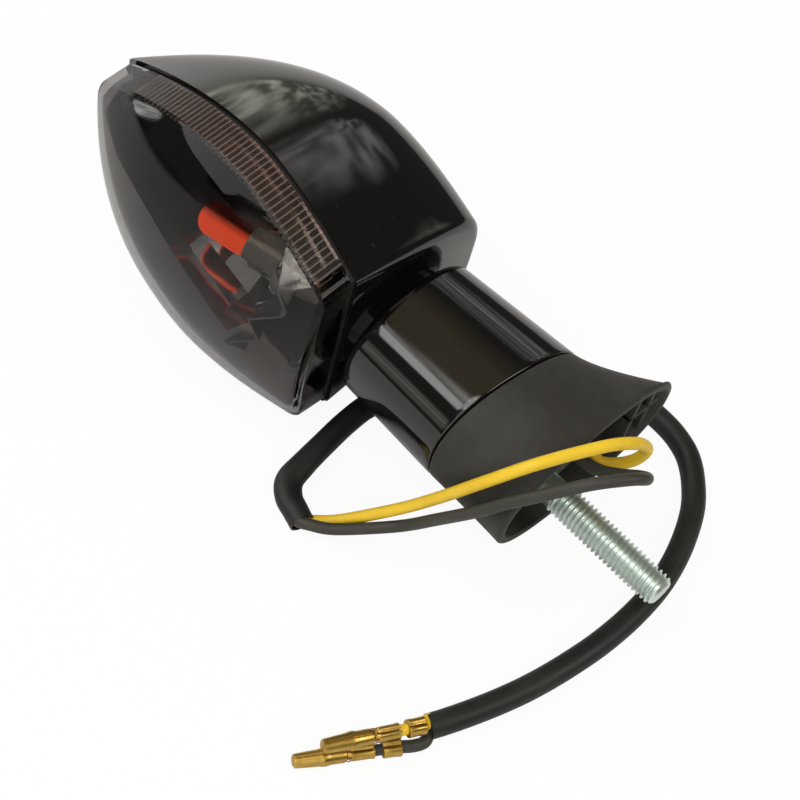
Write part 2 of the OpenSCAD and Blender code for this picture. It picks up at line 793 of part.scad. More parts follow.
// Free wires: out of the foot, a loop back over the base, then down to the sleeve's mouth
feed_route = [[-14, 10.6, 6.5], [-8, 10.6, 6.5], [0, 10.6, 6], [2.6, 10.9, 5.6], [5.8, 13.1, 6.9],
    [8.3, 14.9, 10.1], [9.3, 15.7, 14.4], [8.7, 13.5, 18.4], [7.6, 9.7, 21.5], [5.4, 4.9, 22.9],
    [2.3, -0.6, 22], [-0.7, -6.3, 20.9], [-4, -12.2, 18.8], [-9.8, -17.9, 10.5],
    [-16.5, -20.4, -1.9], [-24, -23.2, -14.4], [-32.8, -31.6, -22.4], [-37, -35.5, -24.4],
    [-39.4, -37.3, -25]];
ground_route = [[-14, 7.4, 6.5], [-8, 7.4, 6.5], [0, 7.4, 6.4], [4.4, 7.8, 7.6], [9, 8.2, 11.4],
    [13.4, 7.5, 17.2], [16, 5, 22.4], [14.4, 0.2, 25.2], [9.3, -6.6, 23.6], [2.7, -13.8, 17.6],
    [-2.3, -17.8, 11.8], [-6.6, -20.3, 5.2], [-14.3, -22.1, -7.1], [-22, -24.8, -18.1],
    [-31.6, -34.8, -21.5], [-36.8, -38.6, -22.2], [-39.5, -39.7, -23]];
// Sleeve on the ground: round a bend, under the stem, round behind the stud and to the terminals
sleeve_route = [[-38.6, -38.7, -24], [-41.8, -37.7, -24], [-45.6, -36.4, -24], [-48.8, -33.3, -24],
    [-50, -27.9, -24], [-51.1, -20, -24], [-52.1, -11.1, -24], [-52, -3, -24], [-49, 8, -24],
    [-44, 19, -24], [-37, 30, -24], [-28, 40, -24], [-17, 47.4, -24], [-8, 50.6, -24],
    [-1.4, 51, -24], [4.1, 50.1, -24], [9.1, 48, -24], [14.4, 43.6, -24], [19.4, 37.4, -24],
    [24.1, 27.6, -24], [27.2, 17, -24], [28.5, 6, -24], [28.4, -5.9, -24], [27.1, -17.2, -24],
    [25.3, -26.9, -24], [23.1, -35.1, -24], [20.6, -42.6, -24], [18.4, -48.4, -24],
    [16.9, -51.9, -24]];
// Each terminal: where its crimp ends, and its turn and rise in degrees
feed_bullet_at = [16.5, -53.3, -21.8];
feed_bullet_lay = [-115.7, 6.6];
ground_bullet_at = [16.1, -59.6, -24.8];
ground_bullet_lay = [-122.5, 0];
feed_tail_route = [[17, -49, -23], [15.9, -51.4, -22.9], feed_bullet_at];
ground_tail_route = [[19, -50, -25], [18, -52.3, -25.1], [18.7, -54.6, -25.2], [17.8, -57.2, -24.9],
    ground_bullet_at];
module feed_wire() {
    color("#f0d02a")
        tube(feed_route, wire_d);
}
module ground_wire() {
    color("#3e3d35")
        tube(ground_route, wire_d);
}
module wire_sleeve() {
    color("#232422")
        tube(sleeve_route, sleeve_d, 10);
}
module feed_tail() {
    color("#f0d02a")
        tube(feed_tail_route, wire_d);
}
module ground_tail() {
    color("#3e3d35")
        tube(ground_tail_route, wire_d);
}

// Brass bullet terminal with its two crimps, lying along its own axis
module bullet(at, lay) {
    nose = 0.8;
    head = 5;
    neck = 6.2;
    body = 13;
    barrel = 18.4;
    waist = bullet_d * 0.42;
    crimp = bullet_d / 2 + 0.1;
    translate(at)
        rotate([0, 0, lay[0]])
            rotate([0, 90 - lay[1], 0])
                rotate_extrude()
                    polygon([[0, bullet_len], [bullet_d / 2 - nose, bullet_len],
                        [bullet_d / 2, bullet_len - nose], [bullet_d / 2, bullet_len - head],
                        [bullet_d / 2 - 0.5, bullet_len - head - 0.5],
                        [bullet_d / 2 - 0.5, bullet_len - neck + 0.5], [bullet_d / 2, bullet_len - neck],
                        [bullet_d / 2, bullet_len - body], [waist, bullet_len - body - 0.6],
                        [waist, bullet_len - barrel], [crimp, bullet_len - barrel - 0.6],
                        [crimp, 0], [0, 0]]);
}
module feed_bullet() {
    color("#b8923a")
        bullet(feed_bullet_at, feed_bullet_lay);
}
module ground_bullet() {
    color("#b8923a")
        bullet(ground_bullet_at, ground_bullet_lay);
}

housing();
lens();
lens_seal();
lens_screws();
reflector();
socket_shell();
contact_spring();
contact_carrier();
contact_pin();
bulb_cap();
bulb_pins();
bulb_contact();
bulb_glass();
bulb_stem();
bulb_filament();
stem();
stem_screws();
feed_lead();
ground_lead();
rubber_base();
stay_plate();
mount_stud();
feed_wire();
ground_wire();
wire_sleeve();
feed_tail();
ground_tail();
feed_bullet();
ground_bullet();
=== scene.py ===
# Motorcycle turn signal: leaf-shaped lamp head with a smoked lens, oval stem, rubber base, stud and wiring
import math
import random

import bmesh
import bpy
from mathutils import Matrix, Vector


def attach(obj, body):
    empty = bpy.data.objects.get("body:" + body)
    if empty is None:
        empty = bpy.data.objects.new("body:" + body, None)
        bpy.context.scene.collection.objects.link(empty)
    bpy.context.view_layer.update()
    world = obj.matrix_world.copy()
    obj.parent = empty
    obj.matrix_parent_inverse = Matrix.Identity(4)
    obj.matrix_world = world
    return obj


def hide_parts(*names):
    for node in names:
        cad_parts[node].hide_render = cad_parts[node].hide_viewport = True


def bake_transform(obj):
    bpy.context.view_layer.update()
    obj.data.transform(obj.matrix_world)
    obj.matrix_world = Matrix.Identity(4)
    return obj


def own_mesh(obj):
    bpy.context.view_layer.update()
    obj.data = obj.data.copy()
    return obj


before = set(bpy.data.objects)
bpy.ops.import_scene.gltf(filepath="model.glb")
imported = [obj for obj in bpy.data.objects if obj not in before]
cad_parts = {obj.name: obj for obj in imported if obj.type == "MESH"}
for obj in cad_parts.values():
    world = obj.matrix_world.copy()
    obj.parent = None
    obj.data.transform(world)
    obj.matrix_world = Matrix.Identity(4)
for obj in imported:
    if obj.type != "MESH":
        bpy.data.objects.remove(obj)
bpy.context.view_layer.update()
scene = bpy.context.scene
scene.view_settings.view_transform = "Standard"
chance = random.Random(7)
MM = 0.001

# Camera at the photograph's viewing angle
camera = bpy.data.objects.new("camera", bpy.data.cameras.new("camera"))
scene.collection.objects.link(camera)
camera.data.sensor_width = 36
camera.data.lens = 89.5
CAMERA_RIGHT = Vector((0.69109, 0.70379, 0.16452))
CAMERA_DOWN = Vector((0.66204, -0.52507, -0.5348))
CAMERA_BACK = Vector((0.29, -0.47851, 0.82881))
camera.matrix_world = (Matrix.Translation((0.09234, -0.22896, 0.37845))
    @ Matrix((CAMERA_RIGHT, -CAMERA_DOWN, CAMERA_BACK)).transposed().to_4x4())
scene.camera = camera

# Sizes of the solid model, in millimetres
END_X, HEAD_LEN, HEAD_Z = -57.7, 94.0, 4.0
RIM_WIDE_AT, RIM_HALF_WIDE, RIM_HALF_END, RIM_HALF_TIP = 33.0, 31.0, 25.0, 2.4
RIM_Y0, RIM_SWEEP, RIM_TAPER = -14.0, 16.0, 1.6
HOUSING_DEPTH, HOUSING_DRAFT, HOUSING_WALL, END_ROUND = 45.8, math.radians(11), 2.4, 2.0
LENS_SKIRT, LENS_DOME, LENS_FULL_AT, LENS_WALL, LENS_STEP, SEAL = 8.0, 17.0, 52.0, 2.0, 0.8, 1.0
DEPTH_TAPER, DOME_LOSS_AT_END, DOME_LOSS_AT_TIP = 3.2, 0.86, 0.95
REFLECTOR_DEPTH, REFLECTOR_LIP, REFLECTOR_DROOP, REFLECTOR_REACH = 16.0, 6.0, 2.2, 6.6
REFLECTOR_LEAN, REFLECTOR_SWING = math.radians(20), math.radians(35)
STEM_X0, STEM_X1, STEM_Y = -22.3, -55.3, 5.0
SEAM_X, SEAM_Y, SEAM_LEAN = -22.0, 5.8, math.tan(math.radians(6))
SCREW_SPOTS = ((9.0, -15.0), (HEAD_LEN - 9, 0.0))
FLUTE_PITCH, FLUTE_DEPTH = 1.6, 0.25
BULB_START, BULB_TURN = Vector((-93.7, -8.0, 1.0)), math.radians(12)
BULB_AXIS = Vector((math.cos(BULB_TURN), math.sin(BULB_TURN), 0))
BULB_SIDE = Vector((-BULB_AXIS.y, BULB_AXIS.x, 0))
# Way that the side of the bulb glass with painted light faces
BULB_LIT = Vector((0.16, -0.757, -0.635))
UP = Vector((0, 0, 1))

# Half widths and half heights of the ovals across the stem
STEM_HALF, SEAM_HALF, BORE_HALF, NECK_HALF = (20, 16.25), (22, 17.25), (15, 11.25), (15.2, 11.45)
PLUG_HALF, PLUG_END_HALF, POINT = (14.7, 10.95), (14.2, 10.4), (0, 0)
STEM_CORNER, NECK_CORNER = 2.3, 2.6


# Colours, nodes and materials
def colour(code):
    """Turns an sRGB hex colour into linear red, green, blue and alpha."""
    parts = [int(code[i:i + 2], 16) / 255 for i in (1, 3, 5)]
    return [c / 12.92 if c < 0.04045 else ((c + 0.055) / 1.055) ** 2.4 for c in parts] + [1.0]


def add_node(tree, kind, inputs=None, **settings):
    """Adds a node with its settings, and fills its inputs with values or with other nodes' outputs."""
    made = tree.nodes.new(kind)
    for name, value in settings.items():
        setattr(made, name, value)
    for name, value in (inputs or {}).items():
        if isinstance(value, bpy.types.NodeSocket):
            tree.links.new(value, made.inputs[name])
        else:
            made.inputs[name].default_value = value
    return made


def new_material(name, **shader):
    """Makes a material with one Principled shader and returns it with its tree, shader and Object coordinates."""
    made = bpy.data.materials.new(name)
    made.use_nodes = True
    tree = made.node_tree
    tree.nodes.clear()
    surface = add_node(tree, "ShaderNodeBsdfPrincipled", {k.replace("_", " "): v for k, v in shader.items()})
    add_node(tree, "ShaderNodeOutputMaterial", {"Surface": surface.outputs["BSDF"]})
    place = add_node(tree, "ShaderNodeTexCoord").outputs["Object"]
    return made, tree, surface, place


def noise(tree, place, scale, detail, **more):
    """Noise from 0 to 1 at a scale, with the given detail."""
    inputs = {"Vector": place, "Scale": scale, "Detail": detail, **more}
    return add_node(tree, "ShaderNodeTexNoise", inputs).outputs["Fac"]


def ranged(tree, value, low, high, to_low=0.0, to_high=1.0):
    """Spreads the values from low to high over another range, and holds them at its ends."""
    return add_node(tree, "ShaderNodeMapRange", {"Value": value, "From Min": low, "From Max": high,
        "To Min": to_low, "To Max": to_high}).outputs["Result"]


def toned(tree, share, first, second):
    """Goes from one colour to another as the share grows. Each is a hex code, linear values or a node's output."""
    first, second = (colour(c) if isinstance(c, str) else c for c in (first, second))
    return add_node(tree, "ShaderNodeMix", {0: share, 6: first, 7: second}, data_type="RGBA").outputs[2]


def along(tree, place, axis):
    """The Object coordinate along one axis."""
    return add_node(tree, "ShaderNodeSeparateXYZ", {"Vector": place}).outputs[axis]


def drive(tree, surface, **sockets):
    """Lets nodes' outputs set inputs of the shader."""
    for name, value in sockets.items():
        tree.links.new(value, surface.inputs[name.replace("_", " ")])


def moulded_black_abs():
    """High gloss black ABS, moulded in a polished tool: deep black with faint smears and specks of dust."""
    tone = "#0d0c0a"
    made, tree, surface, place = new_material("moulded_black_abs", Base_Color=colour(tone), IOR=1.53)
    smear, dust = noise(tree, place, 60, 4), noise(tree, place, 1400, 1)
    drive(tree, surface, Roughness=ranged(tree, smear, 0.35, 0.75, 0.035, 0.13),
        Base_Color=toned(tree, ranged(tree, dust, 0.74, 0.8), tone, "#33302a"))
    return made


# The lens's IOR is below that of bare acrylic, because the photographed lens shows only a weak gloss
LENS_IOR = 1.25


def smoked_acrylic():
    """Injection moulded smoked acrylic: clear, warm grey, with a faint flow haze, and its tint painted darker along
    its lower edge as painted shade.
    """
    made, tree, surface, place = new_material("smoked_acrylic", IOR=LENS_IOR, Transmission_Weight=1.0)
    # Painted shade: the tint darkens towards the lower edge
    low = ranged(tree, along(tree, place, "Z"), -0.006, -0.019)
    haze = noise(tree, place, 90, 3)
    drive(tree, surface, Base_Color=toned(tree, low, "#8c8987", "#69676b"),
        Roughness=ranged(tree, haze, 0.4, 0.8, 0.0, 0.015))
    return made


def fluted_acrylic():
    """Smoked acrylic with fine flutes across it: half clear, warm grey, ruled with thin pale lines at one pitch,
    with a painted reflection of the bulb's amber in its grooves beside the bulb."""
    made, tree, surface, place = new_material("fluted_acrylic", Base_Color=colour("#9c8f89"), IOR=LENS_IOR,
        Roughness=0.28)
    ruled = add_node(tree, "ShaderNodeTexWave", {"Vector": place, "Scale": math.pi / (10 * FLUTE_PITCH * MM)},
        bands_direction="X")
    line = ranged(tree, ruled.outputs["Fac"], 0.72, 0.95)
    # Painted reflection: the grooves near the bulb are tinted amber as if they mirrored the bulb
    bulb_away = add_node(tree, "ShaderNodeVectorMath", {0: place, 1: BULB_START * MM}, operation="DISTANCE")
    glow = ranged(tree, bulb_away.outputs["Value"], 0.028, 0.042, 1, 0)
    painted_amber_groove = toned(tree, glow, "#7b716c", "#86564c")
    drive(tree, surface, Base_Color=toned(tree, line, painted_amber_groove, "#8d827b"),
        Transmission_Weight=ranged(tree, line, 0, 1, 0.92, 0.64))
    return made


def metallised_plastic():
    """Vacuum metallised reflector: a thin aluminium skin with slight haze, bright on its end wall, with its tone
    painted dark in the bowl towards the tip as painted shade that dims the bowl's reflections."""
    made, tree, surface, place = new_material("metallised_plastic", Base_Color=colour("#dcdedd"), Metallic=1.0)
    # Painted shade: the bowl towards the tip gets a dark tone that dims its reflections, the end wall a bright one
    painted_shade_fade = ranged(tree, along(tree, place, "X"), -0.113, -0.101)
    haze = noise(tree, place, 120, 4)
    drive(tree, surface, Base_Color=toned(tree, painted_shade_fade, "#474848", "#f4f6f5"),
        Roughness=ranged(tree, haze, 0.4, 0.8, 0.03, 0.14))
    return made


def amber_bulb_glass_painted_glow():
    """Amber lacquered bulb glass: saturated orange, half clear and glossy, with painted light: its colour is painted
    bright on the side where the bowl would shine through it and painted dark on the other, and its emission is a
    painted glow that stands for the light the bowl gathers, though the bulb is not lit."""
    made, tree, surface, place = new_material("amber_bulb_glass_painted_glow", Base_Color=colour("#ff5a14"), IOR=1.5,
        Transmission_Weight=0.15, Roughness=0.06, Emission_Strength=1.7)
    # Painted light: the lit side, cut off near the bottom, gets bright emission and base colour; the other side is
    # painted dark
    lit_side = add_node(tree, "ShaderNodeVectorMath", {0: place, 1: BULB_LIT}, operation="DOT_PRODUCT")
    edge, middle = BULB_START.dot(BULB_LIT) * MM, BULB_START.z * MM
    painted_lit_mask = ranged(tree, lit_side.outputs["Value"], edge - 0.002, edge + 0.0002)
    painted_lit_above_bottom = ranged(tree, along(tree, place, "Z"), middle - 0.0034, middle - 0.0024)
    share = add_node(tree, "ShaderNodeMath", {0: painted_lit_mask, 1: painted_lit_above_bottom}, operation="MULTIPLY").outputs[0]
    film = toned(tree, noise(tree, place, 300, 3), "#ff4a0c", "#ff6d20")
    drive(tree, surface, Emission_Color=toned(tree, share, "#1e0602", "#ff4a10"),
        Base_Color=toned(tree, share, "#541504", film))
    return made


def drawn_lead_glass():
    """Lead glass of the bulb's inner stem, drawn and pinched while hot: clear, faintly green, glossy, a little
    wavy."""
    made, tree, surface, place = new_material("drawn_lead_glass", Base_Color=colour("#e6efe9"), IOR=1.55,
        Transmission_Weight=0.9)
    drive(tree, surface, Roughness=ranged(tree, noise(tree, place, 900, 2), 0.3, 0.7, 0.02, 0.1))
    return made


def plated_metal(name, tone, dark, low, high, grain):
    """Plated or drawn metal: an even tone with darker, rougher clouds and a grain of the given size in
    millimetres, between a low and a high roughness."""
    made, tree, surface, place = new_material(name, Base_Color=colour(tone), Metallic=1.0)
    cloud = noise(tree, place, 1 / (grain * MM), 5)
    bump = add_node(tree, "ShaderNodeBump", {"Height": cloud, "Strength": 0.08, "Distance": 0.0003})
    drive(tree, surface, Base_Color=toned(tree, cloud, dark, tone),
        Roughness=ranged(tree, cloud, 0.3, 0.7, high, low), Normal=bump.outputs["Normal"])
    return made


def soft_compound(name, tone, worn, low, high, grain, height):
    """Rubber or vinyl: a matt skin with pale handling marks, between a low and a high roughness, and a fine
    moulded grain of the given size in millimetres and height as a share."""
    made, tree, surface, place = new_material(name, Base_Color=colour(tone), IOR=1.5, Specular_IOR_Level=0.28)
    mark = noise(tree, place, 70, 6, Roughness=0.65)
    skin = noise(tree, place, 1 / (grain * MM), 2)
    bump = add_node(tree, "ShaderNodeBump", {"Height": skin, "Strength": height, "Distance": 0.0002})
    drive(tree, surface, Base_Color=toned(tree, ranged(tree, mark, 0.45, 0.8), tone, worn),
        Roughness=ranged(tree, mark, 0.3, 0.7, low, high), Normal=bump.outputs["Normal"])
    return made


BLACK_ABS = moulded_black_abs()
SMOKED = smoked_acrylic()
FLUTED = fluted_acrylic()
METALLISED = metallised_plastic()
AMBER = amber_bulb_glass_painted_glow()
LEAD_GLASS = drawn_lead_glass()
ZINC = plated_metal("zinc_plated_steel", "#e2ebe5", "#b4c0ba", 0.28, 0.4, 1.2)
NICKEL = plated_metal("nickel_plated_brass", "#f2eee4", "#cfc9bb", 0.34, 0.5, 2.0)
BRASS = plated_metal("drawn_brass", "#c8a858", "#967430", 0.26, 0.42, 1.6)
SPRING_STEEL = plated_metal("spring_steel", "#9ea2a4", "#6c7072", 0.25, 0.4, 0.8)
COPPER = plated_metal("copper_strand", "#b06a42", "#7b4024", 0.3, 0.45, 0.6)
RUBBER = soft_compound("moulded_rubber", "#2a2824", "#3a3833", 0.5, 0.68, 0.35, 0.25)
SEAL_RUBBER = soft_compound("seal_rubber", "#151514", "#242321", 0.5, 0.65, 0.3, 0.2)
YELLOW_PVC = soft_compound("yellow_wire_vinyl", "#dfba2b", "#cda31f", 0.34, 0.46, 0.5, 0.06)
BLACK_PVC = soft_compound("black_wire_vinyl", "#34332d", "#44423a", 0.42, 0.56, 0.5, 0.08)
SLEEVE_VINYL = soft_compound("sleeve_vinyl", "#191a18", "#282926", 0.42, 0.54, 0.6, 0.05)
FIBRE = soft_compound("pressed_fibre_board", "#4a2f1c", "#5d3d26", 0.6, 0.8, 0.4, 0.3)


# Mesh helpers
SHARP_ANGLE = 38


def mapped(shape, us, vs):
    """A grid whose points go where shape(u, v) says, in millimetres, for each u across and each v along."""
    bm = bmesh.new()
    bmesh.ops.create_grid(bm, x_segments=len(us) - 1, y_segments=len(vs) - 1, size=0.5)
    for v in bm.verts:
        u = us[round((v.co.x + 0.5) * (len(us) - 1))]
        w = vs[round((v.co.y + 0.5) * (len(vs) - 1))]
        v.co = Vector(shape(u, w)) * MM
    bmesh.ops.remove_doubles(bm, verts=bm.verts, dist=3e-6)
    return bm


def steps(a, b, count):
    """Evenly spaced values from a to b, both included."""
    return [a + (b - a) * i / count for i in range(count + 1)]


def close_ends(bm, x, reach=0.02):
    """Fills the open outlines that lie in the plane at x, in millimetres."""
    edges = [e for e in bm.edges if e.is_boundary and all(abs(v.co.x / MM - x) < reach for v in e.verts)]
    if edges:
        bmesh.ops.contextual_create(bm, geom=list({v for e in edges for v in e.verts}) + edges)


def crease(bm, sharp):
    """Keeps the edges crisp that are sharper than the angle, in degrees."""
    for e in bm.edges:
        if len(e.link_faces) == 2 and e.calc_face_angle(0) > math.radians(sharp):
            e.smooth = False


def settle(bm, sharp):
    """Turns the faces outwards, smooths them and keeps the edges that are sharper than the angle."""
    bmesh.ops.remove_doubles(bm, verts=bm.verts, dist=2e-6)
    bmesh.ops.recalc_face_normals(bm, faces=bm.faces)
    for f in bm.faces:
        f.smooth = True
    crease(bm, sharp)


def piece(name, bm, material, body, node=None, sharp=SHARP_ANGLE):
    """Makes the mesh an object at the origin, which rides on a body and may stand for a node."""
    settle(bm, sharp)
    mesh = bpy.data.meshes.new(name)
    bm.to_mesh(mesh)
    bm.free()
    made = bpy.data.objects.new(name, mesh)
    scene.collection.objects.link(made)
    made.data.materials.append(material)
    if body:
        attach(made, body)
    if node:
        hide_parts(node)
    return made


def applied(made):
    """Gives the object the mesh that its modifiers make, and takes the modifiers off."""
    bpy.context.view_layer.update()
    graph = bpy.context.evaluated_depsgraph_get()
    mesh = bpy.data.meshes.new_from_object(made.evaluated_get(graph))
    made.modifiers.clear()
    made.data = mesh
    return made


def join(bm, other):
    """Adds another bmesh to this one."""
    mesh = bpy.data.meshes.new("joined")
    other.to_mesh(mesh)
    other.free()
    bm.from_mesh(mesh)
    bpy.data.meshes.remove(mesh)


def power_oval(turn, corner):
    """Point of a squarish unit oval in the direction of an angle."""
    c, s = math.cos(turn), math.sin(turn)
    r = (abs(c) ** corner + abs(s) ** corner) ** (-1 / corner)
    return r * c, r * s


ROUND = steps(0, 2 * math.pi, 96)
QUARTER = [math.radians(a) for a in (0, 18, 36, 54, 72, 90)]


# Wires and sleeve, along the routes of the solid model
FEED_ROUTE = ((-14, 10.6, 6.5), (-8, 10.6, 6.5), (0, 10.6, 6), (2.6, 10.9, 5.6), (5.8, 13.1, 6.9), (8.3, 14.9, 10.1),
    (9.3, 15.7, 14.4), (8.7, 13.5, 18.4), (7.6, 9.7, 21.5), (5.4, 4.9, 22.9), (2.3, -0.6, 22), (-0.7, -6.3, 20.9),
    (-4, -12.2, 18.8), (-9.8, -17.9, 10.5), (-16.5, -20.4, -1.9), (-24, -23.2, -14.4), (-32.8, -31.6, -22.4),
    (-37, -35.5, -24.4), (-39.4, -37.3, -25))
GROUND_ROUTE = ((-14, 7.4, 6.5), (-8, 7.4, 6.5), (0, 7.4, 6.4), (4.4, 7.8, 7.6), (9, 8.2, 11.4), (13.4, 7.5, 17.2),
    (16, 5, 22.4), (14.4, 0.2, 25.2), (9.3, -6.6, 23.6), (2.7, -13.8, 17.6), (-2.3, -17.8, 11.8), (-6.6, -20.3, 5.2),
    (-14.3, -22.1, -7.1), (-22, -24.8, -18.1), (-31.6, -34.8, -21.5), (-36.8, -38.6, -22.2), (-39.5, -39.7, -23))
SLEEVE_ROUTE = ((-38.6, -38.7), (-41.8, -37.7), (-45.6, -36.4), (-48.8, -33.3), (-50, -27.9), (-51.1, -20),
    (-52.1, -11.1), (-52, -3), (-49, 8), (-44, 19), (-37, 30), (-28, 40), (-17, 47.4), (-8, 50.6), (-1.4, 51),
    (4.1, 50.1), (9.1, 48), (14.4, 43.6), (19.4, 37.4), (24.1, 27.6), (27.2, 17), (28.5, 6), (28.4, -5.9),
    (27.1, -17.2), (25.3, -26.9), (23.1, -35.1), (20.6, -42.6), (18.4, -48.4), (16.9, -51.9))
SLEEVE_ROUTE = tuple((x, y, -24) for x, y in SLEEVE_ROUTE)
FEED_BULLET, GROUND_BULLET = (16.5, -53.3, -21.8), (16.1, -59.6, -24.8)
FEED_TAIL = ((17, -49, -23), (15.9, -51.4, -22.9), FEED_BULLET)
GROUND_TAIL = ((19, -50, -25), (18, -52.3, -25.1), (18.7, -54.6, -25.2), (17.8, -57.2, -24.9), GROUND_BULLET)
WIRE_R, SLEEVE_R, SLEEVE_WALL, MOUTH_DEPTH = 1.45, 3.0, 0.5, 4
PINCH_AT, PINCH_SPAN, PINCH_WIDER, PINCH_LOWER = 0.045, 0.03, 0.14, 0.26


def smooth_route(points, each=6):
    """A smooth line through the points, in millimetres, with some steps between each two."""
    p = [Vector(q) for q in points]
    p = [2 * p[0] - p[1]] + p + [2 * p[-1] - p[-2]]
    line = []
    for a, b, c, d in zip(p, p[1:], p[2:], p[3:]):
        for i in range(each):
            t = i / each
            line.append(0.5 * ((2 * b) + (c - a) * t + (2 * a - 5 * b + 4 * c - d) * t * t
                + (3 * b - a - 3 * c + d) * t ** 3))
    return line + [p[-2]]


def route_length(line):
    """Length of a line, in millimetres."""
    return sum((b - a).length for a, b in zip(line, line[1:]))


def tube(line, section, sides=20):
    """A closed tube along a line. section(share, turn) gives its width and height there, in millimetres."""
    total = route_length(line)
    frames, run = [], 0.0
    for i, p in enumerate(line):
        ahead = (line[min(i + 1, len(line) - 1)] - line[max(i - 1, 0)]).normalized()
        side = ahead.cross(UP).normalized() if abs(ahead.dot(UP)) < 0.98 else frames[-1][1]
        if frames and side.dot(frames[-1][1]) < 0:
            side = -side
        run += (p - line[i - 1]).length if i else 0
        frames.append((p, side, side.cross(ahead), run / total))

    def shape(turn, k):
        p, side, rise, share = frames[min(max(k, 0), len(line) - 1)]
        if k < 0 or k >= len(line):
            return p
        w, h = section(share, turn)
        return p + side * w + rise * h
    return mapped(shape, steps(0, 2 * math.pi, sides), list(range(-1, len(line) + 1)))


def round_section(radius):
    """A round section for a tube."""
    return lambda share, turn: (radius * math.cos(turn), radius * math.sin(turn))


def sleeve_section(share, turn):
    """The sleeve's round section, pressed flat where it turns back on itself beside its mouth."""
    pinch = math.exp(-((share - PINCH_AT) / PINCH_SPAN) ** 2)
    wide, high = SLEEVE_R * (1 + PINCH_WIDER * pinch), SLEEVE_R * (1 - PINCH_LOWER * pinch)
    return wide * math.cos(turn), high * math.sin(turn)


def open_mouth(bm, line, depth, wall):
    """Opens the closed start of a tube into a short hollow with a thin wall."""
    start, ahead = line[0], (line[1] - line[0]).normalized()
    fan = [v for v in bm.verts if (v.co / MM - start).length < 0.01]
    bmesh.ops.dissolve_verts(bm, verts=fan)
    cap = [f for f in bm.faces if len(f.verts) > 8 and (f.calc_center_median() / MM - start).length < 1]
    bmesh.ops.inset_region(bm, faces=cap, thickness=wall * MM)
    grown = bmesh.ops.extrude_face_region(bm, geom=cap)
    bmesh.ops.delete(bm, geom=cap, context="FACES")
    bmesh.ops.translate(bm, verts=[g for g in grown["geom"] if isinstance(g, bmesh.types.BMVert)],
        vec=ahead * depth * MM)


feed_line, ground_line = smooth_route(FEED_ROUTE), smooth_route(GROUND_ROUTE)
sleeve_line = smooth_route(SLEEVE_ROUTE)
feed_wire = piece("yellow_feed_wire", tube(feed_line, round_section(WIRE_R)), YELLOW_PVC, "mount", "feed_wire")
ground_wire = piece("black_ground_wire", tube(ground_line, round_section(WIRE_R)), BLACK_PVC, "mount", "ground_wire")
sleeve_mesh = tube(sleeve_line, sleeve_section, sides=28)
open_mouth(sleeve_mesh, sleeve_line, MOUTH_DEPTH, SLEEVE_WALL)
sleeve = piece("vinyl_sleeve", sleeve_mesh, SLEEVE_VINYL, "mount", "wire_sleeve")
feed_tail = piece("feed_wire_tail", tube(smooth_route(FEED_TAIL), round_section(WIRE_R)), YELLOW_PVC, "mount",
    "feed_tail")
ground_tail = piece("ground_wire_tail", tube(smooth_route(GROUND_TAIL), round_section(WIRE_R)), BLACK_PVC, "mount",
    "ground_tail")


# Brass bullet terminals, each rolled from sheet with a tapered nose, a stop ring and two crimps
BULLET_STOPS = ((24.4, 0.0), (24.4, 1.1), (24.1, 1.55), (23.6, 1.65), (18.6, 1.9), (17.9, 2.05), (17.2, 2.1),
    (16.4, 1.95), (15.8, 1.85), (13.2, 1.85), (12.6, 1.7), (12.2, 1.3), (11.6, 1.45), (11.2, 1.72), (10.7, 1.75),
    (6.9, 1.72), (6.5, 1.85), (6.2, 1.8), (6.1, 1.2), (5.6, 1.15), (4.6, 1.15), (4.3, 1.3), (4.2, 2.0), (4.0, 2.1),
    (2.2, 2.02), (0.4, 2.1), (0.1, 2.1), (0.0, 1.95), (0.0, 0.0))
CRIMPS, NOSE_FROM, NOSE_LEAST_R = ((-1, 4.25), (6.3, 11.3)), 12.4, 1.2
STRAND_COUNT, STRAND_R, STRAND_FROM, STRAND_LEN = 7, 0.13, 12.8, 1.7
INSULATION_R, INSULATION_STOPS = 1.3, (4.1, 4.6, 5.2, 5.8, 6.3)
# Each terminal's place and the way it points: its turn about Z and its rise, in degrees
FEED_TERMINAL, GROUND_TERMINAL = (FEED_BULLET, -115.7, 6.6), (GROUND_BULLET, -122.5, 0)


def laid(terminal, run, across, up):
    """Point of a terminal, from the end of its crimp: along its axis, across it and up, in millimetres."""
    at, turn, rise = terminal
    lie = Matrix.Rotation(math.radians(turn), 3, "Z") @ Matrix.Rotation(-math.radians(rise), 3, "Y")
    return Vector(at) + lie @ Vector((run, across, up))


def bullet_mesh(terminal):
    """Skin of a terminal, with its crimps folded in along the top and the seam of its rolled nose there."""
    def shape(turn, k):
        run, radius = BULLET_STOPS[k]
        off_top = turn - math.pi / 2
        if any(low < run < high for low, high in CRIMPS):
            fold, swell = math.exp(-(off_top / 0.28) ** 2), math.exp(-((abs(off_top) - 0.6) / 0.3) ** 2)
            radius *= 1 - 0.3 * fold + 0.05 * swell
        if run > NOSE_FROM and radius > NOSE_LEAST_R:
            radius *= 1 - 0.12 * math.exp(-(off_top / 0.06) ** 2)
        return laid(terminal, run, radius * math.cos(turn), radius * math.sin(turn))
    return mapped(shape, steps(0, 2 * math.pi, 64), list(range(len(BULLET_STOPS))))


def strands(terminal):
    """Loose copper strands that stand out between the nose and the first crimp."""
    bm = bmesh.new()
    for i in range(STRAND_COUNT):
        turn = math.radians(30 + 50 * i)
        line = []
        for t in (0, 0.25, 0.5, 0.75, 1):
            out = 1.2 + 0.45 * math.sin(math.pi * t) + 0.12 * chance.random()
            line.append(laid(terminal, STRAND_FROM - STRAND_LEN * t, out * math.cos(turn), out * math.sin(turn)))
        join(bm, tube(line, round_section(STRAND_R), sides=6))
    return bm


